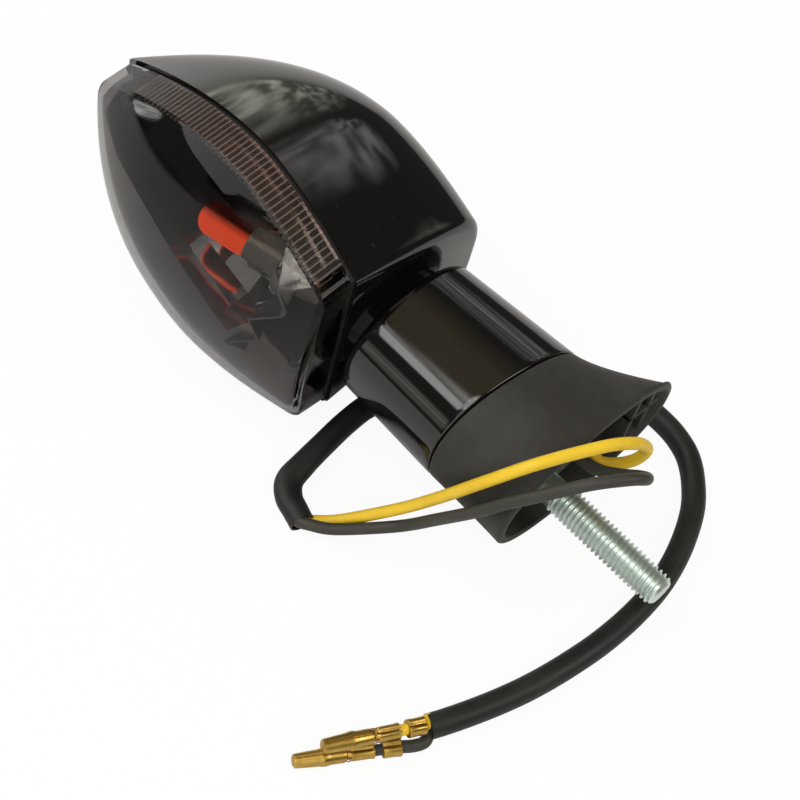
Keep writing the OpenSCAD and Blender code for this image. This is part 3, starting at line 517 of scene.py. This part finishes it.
connector = [feed_tail, ground_tail]
for wire, terminal, insulation in (("feed", FEED_TERMINAL, YELLOW_PVC), ("ground", GROUND_TERMINAL, BLACK_PVC)):
    connector.append(piece(wire + "_bullet_terminal", bullet_mesh(terminal), BRASS, "mount", wire + "_bullet",
        sharp=30))
    loose = piece(wire + "_copper_strands", strands(terminal), COPPER, "mount")
    seen = [laid(terminal, run, 0, 0) for run in INSULATION_STOPS]
    insulated = piece(wire + "_wire_in_crimp", tube(seen, round_section(INSULATION_R)), insulation, "mount")
    connector += [loose, insulated]


# Outline of the lamp's rim and depth at a distance from its end face
def rim_y(e):
    """How far back the rim lies, swept back towards the tip."""
    return RIM_Y0 + RIM_SWEEP * e / HEAD_LEN


def rim_half(e):
    """Half height of the rim, a leaf with its widest place near the end face."""
    if e < RIM_WIDE_AT:
        return RIM_HALF_WIDE - (RIM_HALF_WIDE - RIM_HALF_END) * (1 - e / RIM_WIDE_AT) ** 2
    share = min(1.0, (e - RIM_WIDE_AT) / (HEAD_LEN - RIM_WIDE_AT)) ** RIM_TAPER
    return RIM_HALF_WIDE + (RIM_HALF_TIP - RIM_HALF_WIDE) * share


def depth_share(e):
    """Share of the full depth, which runs out at the tip."""
    return 1 - (e / (HEAD_LEN + 0.5)) ** DEPTH_TAPER


def dome_share(e):
    """Share of the lens's full bulge, which is least at its two ends."""
    if e < LENS_FULL_AT:
        return 1 - DOME_LOSS_AT_END * ((LENS_FULL_AT - e) / LENS_FULL_AT) ** 2
    return 1 - DOME_LOSS_AT_TIP * ((e - LENS_FULL_AT) / (HEAD_LEN - LENS_FULL_AT)) ** 2


def cylinder_y(x, y0, y1, z, radius, sides=40):
    """A closed cylinder along Y, in millimetres."""
    bm = bmesh.new()
    bmesh.ops.create_cone(bm, cap_ends=True, segments=sides, radius1=radius * MM, radius2=radius * MM,
        depth=(y1 - y0) * MM, matrix=Matrix.Translation(Vector((x, (y0 + y1) / 2, z)) * MM)
        @ Matrix.Rotation(math.pi / 2, 4, "X"))
    return bm


def cut(made, cutter_mesh, operation="DIFFERENCE"):
    """Cuts a closed mesh from an object, or joins or shares the two, and keeps the new edges crisp."""
    tool = piece("cutter", cutter_mesh, BLACK_ABS, None)
    change = made.modifiers.new("cut", "BOOLEAN")
    change.operation, change.object, change.solver = operation, tool, "EXACT"
    applied(made)
    bpy.data.objects.remove(tool)
    result = bmesh.new()
    result.from_mesh(made.data)
    crease(result, SHARP_ANGLE)
    result.to_mesh(made.data)
    result.free()


def shared(bm, zone):
    """The part of a closed mesh that lies inside another."""
    made = piece("shared", bm, BLACK_ABS, None)
    cut(made, zone, "INTERSECT")
    kept = bmesh.new()
    kept.from_mesh(made.data)
    bpy.data.objects.remove(made)
    return kept


# Housing: a drafted shell with a rounded end face, screw wells and the oval neck of the stem
HOUSING_CORNER, HOUSING_LEAST_DEPTH, EDGE_ROUND = 4.2, 1.5, 0.3
BOSS_R, WELL_R, SCREW_HOLE_R = 4.65, 3.25, 1.7
BOSS_FROM, WELL_FROM, WELL_REACH, HOLE_FROM, HOLE_TO = 1, 4, 60, -2, 6
HOUSING_STOPS = [(END_ROUND * (1 - math.cos(a)), END_ROUND * (1 - math.sin(a))) for a in QUARTER]
HOUSING_STOPS += [(e, 0.0) for e in steps(3, HEAD_LEN - 2, 60)]
HOUSING_STOPS += [(HEAD_LEN - 1, 0.1), (HEAD_LEN - 0.4, 0.35), (HEAD_LEN, 0.8)]


def housing_point(turn, e, inset):
    """Point of the housing's skin at a distance from the end face, drawn in by the inset."""
    c, s = power_oval(turn, HOUSING_CORNER)
    c = max(c, 0.0)
    depth = max(HOUSING_LEAST_DEPTH, HOUSING_DEPTH * depth_share(e) - SEAL - inset)
    half = rim_half(e) - inset
    return END_X - e, rim_y(e) + SEAL + depth * c, HEAD_Z + s * (half - depth * c * math.tan(HOUSING_DRAFT))


HALF_ROUND = steps(-math.pi / 2, math.pi / 2, 90)
HOUSING_INNER = steps(HOUSING_WALL, HEAD_LEN - 5, len(HOUSING_STOPS) - 1)
HOUSING_LOOP = [(turn, True) for turn in HALF_ROUND] + [(turn, False) for turn in reversed(HALF_ROUND)]
HOUSING_LOOP.append(HOUSING_LOOP[0])


def housing_wall(i, k):
    """Point of the housing's section loop: over the outside, then back along the inside."""
    turn, outside = HOUSING_LOOP[i]
    if outside:
        return housing_point(turn, *HOUSING_STOPS[k])
    return housing_point(turn, HOUSING_INNER[k], HOUSING_WALL)


def mid_wall(turn, k):
    """Point of a skin in the middle of the housing's wall, where the screw bosses end."""
    e, rounding = HOUSING_STOPS[k]
    return housing_point(turn, e, rounding + HOUSING_WALL / 2)


housing_mesh = mapped(housing_wall, list(range(len(HOUSING_LOOP))), list(range(len(HOUSING_STOPS))))
for end_e in (HOUSING_STOPS[0][0], HOUSING_STOPS[-1][0], HOUSING_INNER[0], HOUSING_INNER[-1]):
    close_ends(housing_mesh, END_X - end_e)
bmesh.ops.holes_fill(housing_mesh, edges=[e for e in housing_mesh.edges if e.is_boundary], sides=4)
housing = piece("housing_shell", housing_mesh, BLACK_ABS, "head", "housing")
edge = housing.modifiers.new("edge", "BEVEL")
edge.width, edge.segments, edge.limit_method, edge.angle_limit = EDGE_ROUND * MM, 2, "ANGLE", math.radians(50)
applied(housing)
for spot_e, spot_z in SCREW_SPOTS:
    x, z, floor_y = END_X - spot_e, HEAD_Z + spot_z, rim_y(spot_e) + SEAL
    zone = mapped(mid_wall, HALF_ROUND + HALF_ROUND[:1], list(range(len(HOUSING_STOPS))))
    close_ends(zone, END_X)
    close_ends(zone, END_X - HEAD_LEN)
    cut(housing, shared(cylinder_y(x, floor_y + BOSS_FROM, floor_y + WELL_REACH, z, BOSS_R), zone), "UNION")
    cut(housing, cylinder_y(x, floor_y + WELL_FROM, floor_y + WELL_REACH, z, WELL_R))
    cut(housing, cylinder_y(x, floor_y + HOLE_FROM, floor_y + HOLE_TO, z, SCREW_HOLE_R))


def oval_stop(x, y, half, lean=0.0, inset=0.0):
    """Stop of an oval stack at middle height, with its half width and half height drawn in by the inset."""
    return x, y, 0, half[0] - inset, half[1] - inset, lean


def oval_stack(stops, corner, turns=ROUND):
    """A closed skin through ovals across X: each stop's x, y, z, half width, half height and share of the lean."""
    def shape(turn, k):
        x, y, z, w, h, lean = stops[k]
        c, s = power_oval(turn, corner)
        return x + lean * SEAM_LEAN * (y + w * c - SEAM_Y), y + w * c, z + h * s
    return mapped(shape, turns, list(range(len(stops))))


NECK_END = STEM_X1 - 0.05
NECK_STOPS = [oval_stop(END_X + 0.6, STEM_Y, POINT), oval_stop(END_X - 1, STEM_Y, NECK_HALF),
    oval_stop(NECK_END, STEM_Y, NECK_HALF), oval_stop(NECK_END, STEM_Y, POINT)]
piece("housing_neck", oval_stack(NECK_STOPS, NECK_CORNER), BLACK_ABS, "head", "housing")


# Lens: a smoked shell with a skirt, a crisp crease and a full front, fluted inside its skirt
LENS_DRAFT, LENS_ROUND, LENS_LEAST_DOME = 0.8, 2.4, 0.5
DOME_PULL_Y, DOME_PULL_Z = (1.62, 0.96), (-0.95, 0.68)
FLUTES_FROM, FLUTES_TO = 5, 80
LENS_SECTION = [("low", t) for t in steps(0, 0.96, 5)] + [("dome", t) for t in steps(0, 1, 48)]
LENS_SECTION += [("high", t) for t in steps(0.04, 1, 5)]


def lens_point(part, e, inset, rib=0.0):
    """Point of the lens's skin at a distance from the end face, drawn in by the inset and, on the skirt, by a rib."""
    kind, t = part
    half, y = rim_half(e) - LENS_STEP - inset, rim_y(e)
    if kind == "dome":
        dome = max(LENS_LEAST_DOME, LENS_DOME * dome_share(e) - inset)
        a, b, c, d = (1 - t) ** 3, 3 * t * (1 - t) ** 2, 3 * t * t * (1 - t), t ** 3
        bulge = dome * (DOME_PULL_Y[0] * b + DOME_PULL_Y[1] * c)
        height = (half - LENS_DRAFT) * (-a + DOME_PULL_Z[0] * b + DOME_PULL_Z[1] * c + d)
        return END_X - e, y - LENS_SKIRT - bulge, HEAD_Z + height
    sign, reach = (-1, t) if kind == "low" else (1, 1 - t)
    return END_X - e, y - LENS_SKIRT * reach, HEAD_Z + sign * (half - LENS_DRAFT * reach - rib * min(1, 6 * reach))


def flute(e):
    """Round ribs that run across the skirt, at one pitch along the rim."""
    if e < FLUTES_FROM or e > FLUTES_TO:
        return 0.0
    return FLUTE_DEPTH * abs(math.cos(math.pi * e / FLUTE_PITCH)) ** 0.7


LENS_ROWS = 400
LENS_OUTER = [(LENS_STEP + LENS_ROUND * (1 - math.cos(a)), LENS_ROUND * (1 - math.sin(a))) for a in QUARTER]
LENS_OUTER += [(e, 0.0) for e in steps(3.5, HEAD_LEN - LENS_ROUND, LENS_ROWS - len(QUARTER) - 2)]
LENS_OUTER += [(HEAD_LEN - 1.6, 0.25), (HEAD_LEN - 1.2, 0.6)]
LENS_INNER = steps(LENS_STEP + LENS_WALL, HEAD_LEN - 5.6, LENS_ROWS)
LENS_LOOP = [(part, True) for part in LENS_SECTION] + [(part, False) for part in reversed(LENS_SECTION)]
LENS_LOOP.append(LENS_LOOP[0])


def lens_wall(i, k):
    """Point of the lens's section loop: over the outside, then back along the inside."""
    part, outside = LENS_LOOP[i]
    if outside:
        return lens_point(part, *LENS_OUTER[k])
    return lens_point(part, LENS_INNER[k], LENS_WALL, flute(LENS_INNER[k]))


lens_mesh = mapped(lens_wall, list(range(len(LENS_LOOP))), list(range(LENS_ROWS + 1)))
for end_e in (LENS_OUTER[0][0], LENS_OUTER[-1][0], LENS_INNER[0], LENS_INNER[-1]):
    close_ends(lens_mesh, END_X - end_e)
bmesh.ops.holes_fill(lens_mesh, edges=[e for e in lens_mesh.edges if e.is_boundary], sides=4)
for f in lens_mesh.faces:
    middle = f.calc_center_median() / MM
    e = END_X - middle.x
    ahead, off = middle.y - rim_y(e), rim_half(e) - abs(middle.z - HEAD_Z)
    on_skirt = -LENS_SKIRT < ahead < -0.4 and off < LENS_STEP + 0.6 * LENS_WALL
    f.material_index = int(FLUTES_FROM < e < FLUTES_TO and on_skirt)
lens = piece("smoked_lens", lens_mesh, SMOKED, "head", "lens", sharp=32)
lens.data.materials.append(FLUTED)


# Reflector: a faceted bright bowl with a leaning, stepped end wall and a collar for the socket
REFLECTOR_WALL, BOWL_CORNER, BOWL_GAP, BOWL_BACK = 0.8, 2.6, 5.4, 12
FACETED_TO, FACET_SWELL, TIP_FROM, TIP_SPAN = 46, 0.06, 78.2, 8.3
WALL_STEP, HIGH_STEP, LOW_STEP = 9.5, (5.1, 5.9), (0.1, 0.5)
SOCKET_CLEAR, SOCKET_STEP, LEAN_AT = 10, 0.8, 26
BOWL_STOPS = [HEAD_LEN / 95 * e for e in (0, 9, 18, 27, 36, 45, 54, 62, 69, 75, 79, 83, 87.4)]


def bowl_point(turn, e):
    """Point of the bowl, tilted more towards the tip, with facets that swell by chance beside the end wall."""
    tilt = REFLECTOR_DROOP + REFLECTOR_REACH * (e / HEAD_LEN) ** 2
    half_tilt = tilt / 2 * (1 - 0.4 * max(0, e - TIP_FROM) / TIP_SPAN)
    lip = REFLECTOR_LIP + half_tilt
    depth = REFLECTOR_DEPTH * depth_share(min(HEAD_LEN, e + BOWL_BACK)) + lip
    half = max(1.0, rim_half(e) - BOWL_GAP)
    c, s = power_oval(turn, BOWL_CORNER)
    swell = 1 + (chance.uniform(-FACET_SWELL, FACET_SWELL) if e < FACETED_TO and abs(s) < 0.98 else 0)
    return END_X - e, rim_y(e) - lip + depth * max(c, 0.0) * swell + half_tilt * s, HEAD_Z + s * half * swell


def on_wall(face):
    """Whether a face lies in the leaning end wall."""
    return abs(face.normal.dot(LEAN_NORMAL)) > 0.9999


LEAN_NORMAL = (Matrix.Rotation(REFLECTOR_LEAN, 3, "Y") @ Matrix.Rotation(REFLECTOR_SWING, 3, "Z")) @ Vector((1, 0, 0))
LEAN_POINT = Vector((END_X - LEAN_AT, rim_y(LEAN_AT) - REFLECTOR_LIP, HEAD_Z - RIM_HALF_END))
bowl = mapped(bowl_point, steps(-math.pi / 2, math.pi / 2, 14), BOWL_STOPS)
close_ends(bowl, END_X - BOWL_STOPS[-1])
sliced = bmesh.ops.bisect_plane(bowl, geom=bowl.verts[:] + bowl.edges[:] + bowl.faces[:], plane_co=LEAN_POINT * MM,
    plane_no=LEAN_NORMAL, clear_outer=True)
rim_edges = [g for g in sliced["geom_cut"] if isinstance(g, bmesh.types.BMEdge)]
bmesh.ops.contextual_create(bowl, geom=list({v for e in rim_edges for v in e.verts}) + rim_edges)
LEAN_ACROSS = LEAN_NORMAL.cross(UP).normalized()
LEAN_UP = LEAN_NORMAL.cross(LEAN_ACROSS)
for ruling in (LEAN_ACROSS, LEAN_UP):
    for k in range(-6, 7):
        bowl.normal_update()
        flat = [f for f in bowl.faces if on_wall(f)]
        flat += list({e for f in flat for e in f.edges}) + list({v for f in flat for v in f.verts})
        bmesh.ops.bisect_plane(bowl, geom=flat, plane_co=(LEAN_POINT + ruling * k * WALL_STEP) * MM, plane_no=ruling)
bowl.normal_update()
inside = [v for v in bowl.verts if all(on_wall(f) for f in v.link_faces)]
for v in inside:
    row = round((v.co / MM - LEAN_POINT).dot(LEAN_UP) / WALL_STEP)
    push = chance.uniform(*(HIGH_STEP if row % 2 == 0 else LOW_STEP))
    off = v.co / MM - BULB_START
    off -= BULB_AXIS * off.dot(BULB_AXIS)
    v.co -= LEAN_NORMAL * (min(push, SOCKET_STEP) if off.length < SOCKET_CLEAR else push) * MM
bmesh.ops.triangulate(bowl, faces=[f for f in bowl.faces if len(f.verts) > 4 or any(v in inside for v in f.verts)])
reflector = piece("faceted_reflector", bowl, METALLISED, "head", "reflector", sharp=4)
wall = reflector.modifiers.new("wall", "SOLIDIFY")
wall.thickness, wall.offset = REFLECTOR_WALL * MM, 1
applied(reflector)


def on_bulb(stops, sides=48):
    """Skin of revolution on the bulb's axis. Each stop gives the distance along the axis and a radius."""
    def shape(turn, k):
        run, radius = stops[k]
        return BULB_START + BULB_AXIS * run + BULB_SIDE * radius * math.cos(turn) + UP * radius * math.sin(turn)
    return mapped(shape, steps(0, 2 * math.pi, sides), list(range(len(stops))))


COLLAR_STOPS = ((10.2, 5.62), (10.2, 7.4), (10.8, 7.8), (12.2, 7.9), (15.8, 6.9), (16, 6.7), (16, 5.62), (10.2, 5.62))
SOCKET_HOLE_STOPS = ((1.5, 0), (1.5, 6.4), (30, 6.4), (30, 0))
piece("reflector_collar", on_bulb(COLLAR_STOPS), METALLISED, "head", "reflector")
cut(reflector, on_bulb(SOCKET_HOLE_STOPS))


# Contact spring: a coil of wire along the bulb's axis inside the socket
SPRING_FROM, SPRING_TO, SPRING_R, SPRING_WIRE, SPRING_TURNS, SPRING_PHASE = 14.8, 20.6, 3.0, 0.6, 3, 1


def spring_point(share):
    """Point of the coil's middle line."""
    turn = 2 * math.pi * SPRING_TURNS * share + SPRING_PHASE
    run = SPRING_FROM + SPRING_WIRE / 2 + (SPRING_TO - SPRING_FROM - SPRING_WIRE) * share
    return BULB_START + BULB_AXIS * run + (BULB_SIDE * math.cos(turn) + UP * math.sin(turn)) * SPRING_R


coil_line = [spring_point(share) for share in steps(0, 1, 24 * SPRING_TURNS)]
coil = tube(coil_line, round_section(SPRING_WIRE / 2), sides=10)
spring = piece("contact_spring_coil", coil, SPRING_STEEL, "head", "contact_spring")
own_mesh(spring)


# Bulb glass: a tube with a round end, drawn in at the cap
GLASS_R, GLASS_END, GLASS_END_LEN = 4.4, -10.98, 3.52
GLASS_STOPS = [(2.4, 0.0), (2.4, 3.9), (0.4, 3.95), (-0.6, 4.05), (-1.6, 4.3), (-2.6, GLASS_R)]
GLASS_STOPS += [(run, GLASS_R) for run in steps(-4, -10.4, 6)]
GLASS_STOPS += [(GLASS_END - GLASS_END_LEN * math.sin(a), GLASS_R * math.cos(a)) for a in steps(0.1, math.pi / 2, 10)]
piece("amber_bulb", on_bulb(GLASS_STOPS), AMBER, "bulb", "bulb_glass")


# Stem: a gloss oval barrel with a rounded shoulder at the head and a bore for the rubber
SHOULDER, STEM_LIP, BORE_END = 2.4, 0.5, STEM_X1 + 7
stem_stops = [oval_stop(STEM_X1, STEM_Y, POINT)]
stem_stops += [oval_stop(STEM_X1 + SHOULDER * (1 - math.cos(a)), STEM_Y, STEM_HALF, 0, SHOULDER * (1 - math.sin(a)))
    for a in QUARTER]
for share in steps(0.02, 1, 24):
    half = [a + (b - a) * share for a, b in zip(STEM_HALF, SEAM_HALF)]
    stem_stops.append(oval_stop(STEM_X1 + SHOULDER + (STEM_X0 - STEM_LIP - STEM_X1 - SHOULDER) * share,
        STEM_Y + (SEAM_Y - STEM_Y) * share, half, share))
stem_stops += [oval_stop(STEM_X0 - STEM_LIP + STEM_LIP * math.sin(a), SEAM_Y, SEAM_HALF, 1,
    STEM_LIP * (1 - math.cos(a))) for a in QUARTER[1:]]
stem_stops += [oval_stop(STEM_X0, STEM_Y, BORE_HALF, 1), oval_stop(BORE_END, STEM_Y, BORE_HALF),
    oval_stop(BORE_END, STEM_Y, POINT)]
piece("gloss_stem", oval_stack(stem_stops, STEM_CORNER), BLACK_ABS, "head", "stem")


# Rubber base: flared and hollow at its foot, with ribs beside the plate and a plug inside the stem
FOOT_Y, FOOT_Z, FOOT_GROWTH = 10.5, 2, (7.2, -1.25)
PLUG_LEN, PLUG_ROUND, SEAM_ROUND, FOOT_ROUND = 10, 0.5, 0.5, 0.8
HOLLOW = ((1.0, 1.9), (1.0, 2.3, -0.3), (0.94, 2.4), (0.8, 2.4), (0.65, 2.5), (0.637, 3.2), (0.637, 12))
HOLLOW_MIDDLE = (-8.0, 4, 1.5, 0, 0, 0)
RIB_INSET, RIB_ROUND, PAST_MIDDLE = 1.2, 0.35, 40


def base_stop(share, inset, dx=0.0):
    """Stop of the rubber's skin, at a share of the way from the seam to the foot's rim, drawn in by the inset."""
    flare = share ** 1.5
    wide, high = (half + growth * flare - inset for half, growth in zip(SEAM_HALF, FOOT_GROWTH))
    return SEAM_X * (1 - share) + dx, SEAM_Y + (FOOT_Y - SEAM_Y) * flare, FOOT_Z * flare, wide, high, (1 - share) ** 3


plug_x = SEAM_X - PLUG_LEN
rubber_stops = [oval_stop(plug_x, STEM_Y, POINT), oval_stop(plug_x, STEM_Y, PLUG_END_HALF),
    oval_stop(plug_x + PLUG_ROUND, STEM_Y, PLUG_HALF), oval_stop(SEAM_X, STEM_Y, PLUG_HALF, 1)]
rubber_stops += [base_stop(0.0, SEAM_ROUND * (1 - math.sin(a)), SEAM_ROUND * (1 - math.cos(a))) for a in QUARTER[:-1]]
rubber_stops += [base_stop(share, 0.0) for share in steps(0.023, 0.963, 30)]
rubber_stops += [base_stop(1.0, FOOT_ROUND * (1 - math.cos(a)), -FOOT_ROUND * (1 - math.sin(a))) for a in QUARTER]
rubber_stops += [base_stop(*stop) for stop in HOLLOW] + [HOLLOW_MIDDLE]
rubber_mesh = oval_stack(rubber_stops, STEM_CORNER, steps(0, 2 * math.pi, 120))
RIB_ZONE = [base_stop(0.5, PAST_MIDDLE), base_stop(0.5, RIB_INSET)]
RIB_ZONE += [base_stop(t, RIB_INSET) for t in steps(0.6, 0.95, 4)] + [base_stop(0.95, PAST_MIDDLE)]
RIB_ZONE = [(x, y, z, max(w, 0), max(h, 0), lean) for x, y, z, w, h, lean in RIB_ZONE]
FOOT_RIBS = (((-9, 26.3, -14), (-1, 27.9, 18)), ((-9, 32.1, -14), (-1, 33.7, 18)), ((-9, 26.3, 2), (-1, 39.7, 3.6)))


def foot_rib(low, high):
    """A moulded rib in the foot's hollow, with softened edges, between two corners in millimetres."""
    bm = bmesh.new()
    size, middle = [(b - a) * MM for a, b in zip(low, high)], [(a + b) / 2 * MM for a, b in zip(low, high)]
    bmesh.ops.create_cube(bm, size=1, matrix=Matrix.Translation(middle) @ Matrix.Diagonal(size + [1]))
    bmesh.ops.bevel(bm, geom=bm.edges[:], offset=RIB_ROUND * MM, affect="EDGES", segments=2, profile=0.5, material=-1)
    return bm


for low, high in FOOT_RIBS:
    join(rubber_mesh, shared(foot_rib(low, high), oval_stack(RIB_ZONE, STEM_CORNER)))
rubber = piece("flexible_rubber_base", rubber_mesh, RUBBER, None, "rubber_base")
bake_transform(rubber)


# Stud: M8 thread of 1.25 mm pitch on a plain shank, with a chamfered end
PITCH, CREST, FLANK, ROOT = 1.25, 4.0, 3.6, 3.25
THREAD_FROM, THREAD_TO, CHAMFER, CHAMFER_SLOPE = 0.6, 33.0, 1.2, 0.9
PROFILE = ((0.0, CREST), (0.125, CREST), (0.3, FLANK), (0.46, ROOT), (0.66, ROOT), (0.83, FLANK))
THREAD_ROWS = len(PROFILE) * 28
SHANK_FROM, SHANK_R = -8, 3.56
SHANK = ((SHANK_FROM, 0.0), (SHANK_FROM, SHANK_R), (THREAD_FROM, SHANK_R))
HEX_AT, HEX_R, HEX_HIGH = -10, 7.5, 4


def stud_point(turn, k):
    """Point of the stud. The rows of its shank come before 0, then those of the thread, and its end comes last."""
    if k >= THREAD_ROWS:
        return THREAD_TO, 0, 0
    if k < 0:
        x, radius = SHANK[k]
    else:
        share, radius = PROFILE[k % len(PROFILE)]
        x = THREAD_FROM - PITCH + PITCH * (k // len(PROFILE) + share + turn / (2 * math.pi))
        x = min(max(x, THREAD_FROM), THREAD_TO)
        radius = CREST - (CREST - radius) * min(1.0, (x - THREAD_FROM) / PITCH)
        run_in = SHANK_R + CHAMFER_SLOPE * (x - THREAD_FROM)
        run_out = CREST - CHAMFER_SLOPE * max(0.0, x - (THREAD_TO - CHAMFER))
        radius = min(radius, run_in, run_out)
    return x, radius * math.cos(turn), radius * math.sin(turn)


stud_mesh = mapped(stud_point, steps(0, 2 * math.pi, 48), list(range(-len(SHANK), THREAD_ROWS + 1)))
hexagon = bmesh.new()
bmesh.ops.create_cone(hexagon, cap_ends=True, segments=6, radius1=HEX_R * MM, radius2=HEX_R * MM, depth=HEX_HIGH * MM,
    matrix=Matrix.Translation((HEX_AT * MM, 0, 0)) @ Matrix.Rotation(math.pi / 2, 4, "Y"))
bmesh.ops.bevel(hexagon, geom=hexagon.edges[:], offset=EDGE_ROUND * MM, affect="EDGES", segments=2, profile=0.5,
    material=-1)
join(stud_mesh, hexagon)
piece("threaded_stud", stud_mesh, ZINC, "mount", "mount_stud", sharp=28)


# Finishes of the solid model's own pieces
FINISHES = {"lens_seal": SEAL_RUBBER, "lens_screws": ZINC, "socket_shell": NICKEL, "contact_carrier": FIBRE,
    "contact_pin": BRASS, "bulb_cap": NICKEL, "bulb_pins": NICKEL, "bulb_contact": SPRING_STEEL,
    "bulb_stem": LEAD_GLASS, "bulb_filament": SPRING_STEEL, "stem_screws": ZINC, "feed_lead": YELLOW_PVC,
    "ground_lead": BLACK_PVC, "stay_plate": ZINC}
for name, finish in FINISHES.items():
    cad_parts[name].data.materials.clear()
    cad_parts[name].data.materials.append(finish)


# Floor, world and soft studio light
FLOOR_Z, FLOOR_HALF, SHADOW_SHARE = -0.0272, 2.5, 0.07


def white_floor():
    """White table: white to the eye and through glass, a plain pale board to light and gloss, with a faint shadow."""
    made = bpy.data.materials.new("white_floor")
    made.use_nodes = True
    tree = made.node_tree
    tree.nodes.clear()
    path = add_node(tree, "ShaderNodeLightPath").outputs
    glow = add_node(tree, "ShaderNodeEmission", {"Color": (1, 1, 1, 1), "Strength": 1.0})
    board = add_node(tree, "ShaderNodeBsdfDiffuse", {"Color": (0.8, 0.8, 0.8, 1)})
    seen = add_node(tree, "ShaderNodeMixShader", {0: SHADOW_SHARE, 1: glow.outputs[0], 2: board.outputs[0]})
    looked_at = add_node(tree, "ShaderNodeMath", {0: path["Is Camera Ray"], 1: path["Is Transmission Ray"]},
        operation="MAXIMUM")
    both = add_node(tree, "ShaderNodeMixShader", {0: looked_at.outputs[0], 1: board.outputs[0], 2: seen.outputs[0]})
    add_node(tree, "ShaderNodeOutputMaterial", {"Surface": both.outputs[0]})
    return made


floor_mesh = bmesh.new()
bmesh.ops.create_grid(floor_mesh, x_segments=1, y_segments=1, size=FLOOR_HALF,
    matrix=Matrix.Translation((0, 0, FLOOR_Z)))
floor = piece("floor", floor_mesh, white_floor(), None)


# Patches of the room: the way to each, the closeness to it where its light starts and is full, its light, its streaks
ROOM_TONE = (0.09, 0.085, 0.078, 1)
ROOM = (((-0.35, 0.1, 0.93), 0.86, 0.97, (0.6, 0.48, 0.3), 0.3),
    ((-0.33, 0.8, 0.5), 0.965, 0.997, (1.9, 1.9, 1.8), 0.95),
    ((-0.34, -0.9, 0.27), 0.975, 0.995, (1.7, 1.6, 1.45), 0.6),
    ((-0.79, 0.6, 0.1), 0.93, 0.99, (2.0, 2.0, 1.7), 0.85),
    ((0.25, 0.88, 0.4), 0.982, 0.996, (0.9, 0.85, 0.75), 0.5),
    ((-0.36, -0.52, 0.78), 0.9983, 0.9995, (3, 3, 2.8), 0),
    ((-1.0, -0.015, 0.035), 0.9955, 0.998, (6.5, 6.5, 6.2), 0.6),
    ((-0.1, -0.36, 0.93), 0.962, 0.985, (7, 7, 6.8), 0.5))


def studio():
    """Dim room with soft patches of ceiling, window and wall, drawn out into streaks, for the gloss to mirror."""
    made = bpy.data.worlds.new("studio")
    made.use_nodes = True
    tree = made.node_tree
    tree.nodes.clear()
    way = add_node(tree, "ShaderNodeTexCoord").outputs["Generated"]
    drawn = add_node(tree, "ShaderNodeMapping", {"Vector": way, "Rotation": (0.5, 0.3, 0), "Scale": (4, 50, 14)})
    streak = noise(tree, drawn.outputs[0], 1.0, 3)
    view = ROOM_TONE
    for aim, start, full, tone, streaked in ROOM:
        near = add_node(tree, "ShaderNodeVectorMath", {0: way, 1: aim}, operation="DOT_PRODUCT")
        lit = ranged(tree, near.outputs["Value"], start, full)
        gap = ranged(tree, streak, 0.42, 0.62, 1 - streaked)
        share = add_node(tree, "ShaderNodeMath", {0: lit, 1: gap}, operation="MULTIPLY")
        view = toned(tree, share.outputs[0], view, (*tone, 1))
    light = add_node(tree, "ShaderNodeBackground", {"Color": view, "Strength": 1.0})
    add_node(tree, "ShaderNodeOutputWorld", {"Surface": light.outputs[0]})
    return made


scene.world = studio()


def soft_light(name, place, aim, size, power, tone=(1, 1, 1)):
    """A soft area light at a place, turned towards an aim."""
    lamp = bpy.data.lights.new(name, "AREA")
    lamp.shape, lamp.size, lamp.size_y, lamp.energy, lamp.color = "RECTANGLE", size[0], size[1], power, tone
    made = bpy.data.objects.new(name, lamp)
    scene.collection.objects.link(made)
    made.location = place
    made.rotation_euler = (Vector(aim) - Vector(place)).to_track_quat("-Z", "Y").to_euler()


soft_light("right_softbox", (0.75, 0.35, 0.85), (-0.04, 0, 0), (0.6, 0.6), 5.5, (1.0, 0.97, 0.92))
soft_light("front_softbox", (0.45, -0.9, 0.6), (-0.06, 0, 0), (1.4, 1.4), 8)
soft_light("left_softbox", (-0.9, -0.3, 0.7), (-0.1, 0, 0), (1.2, 1.0), 8)
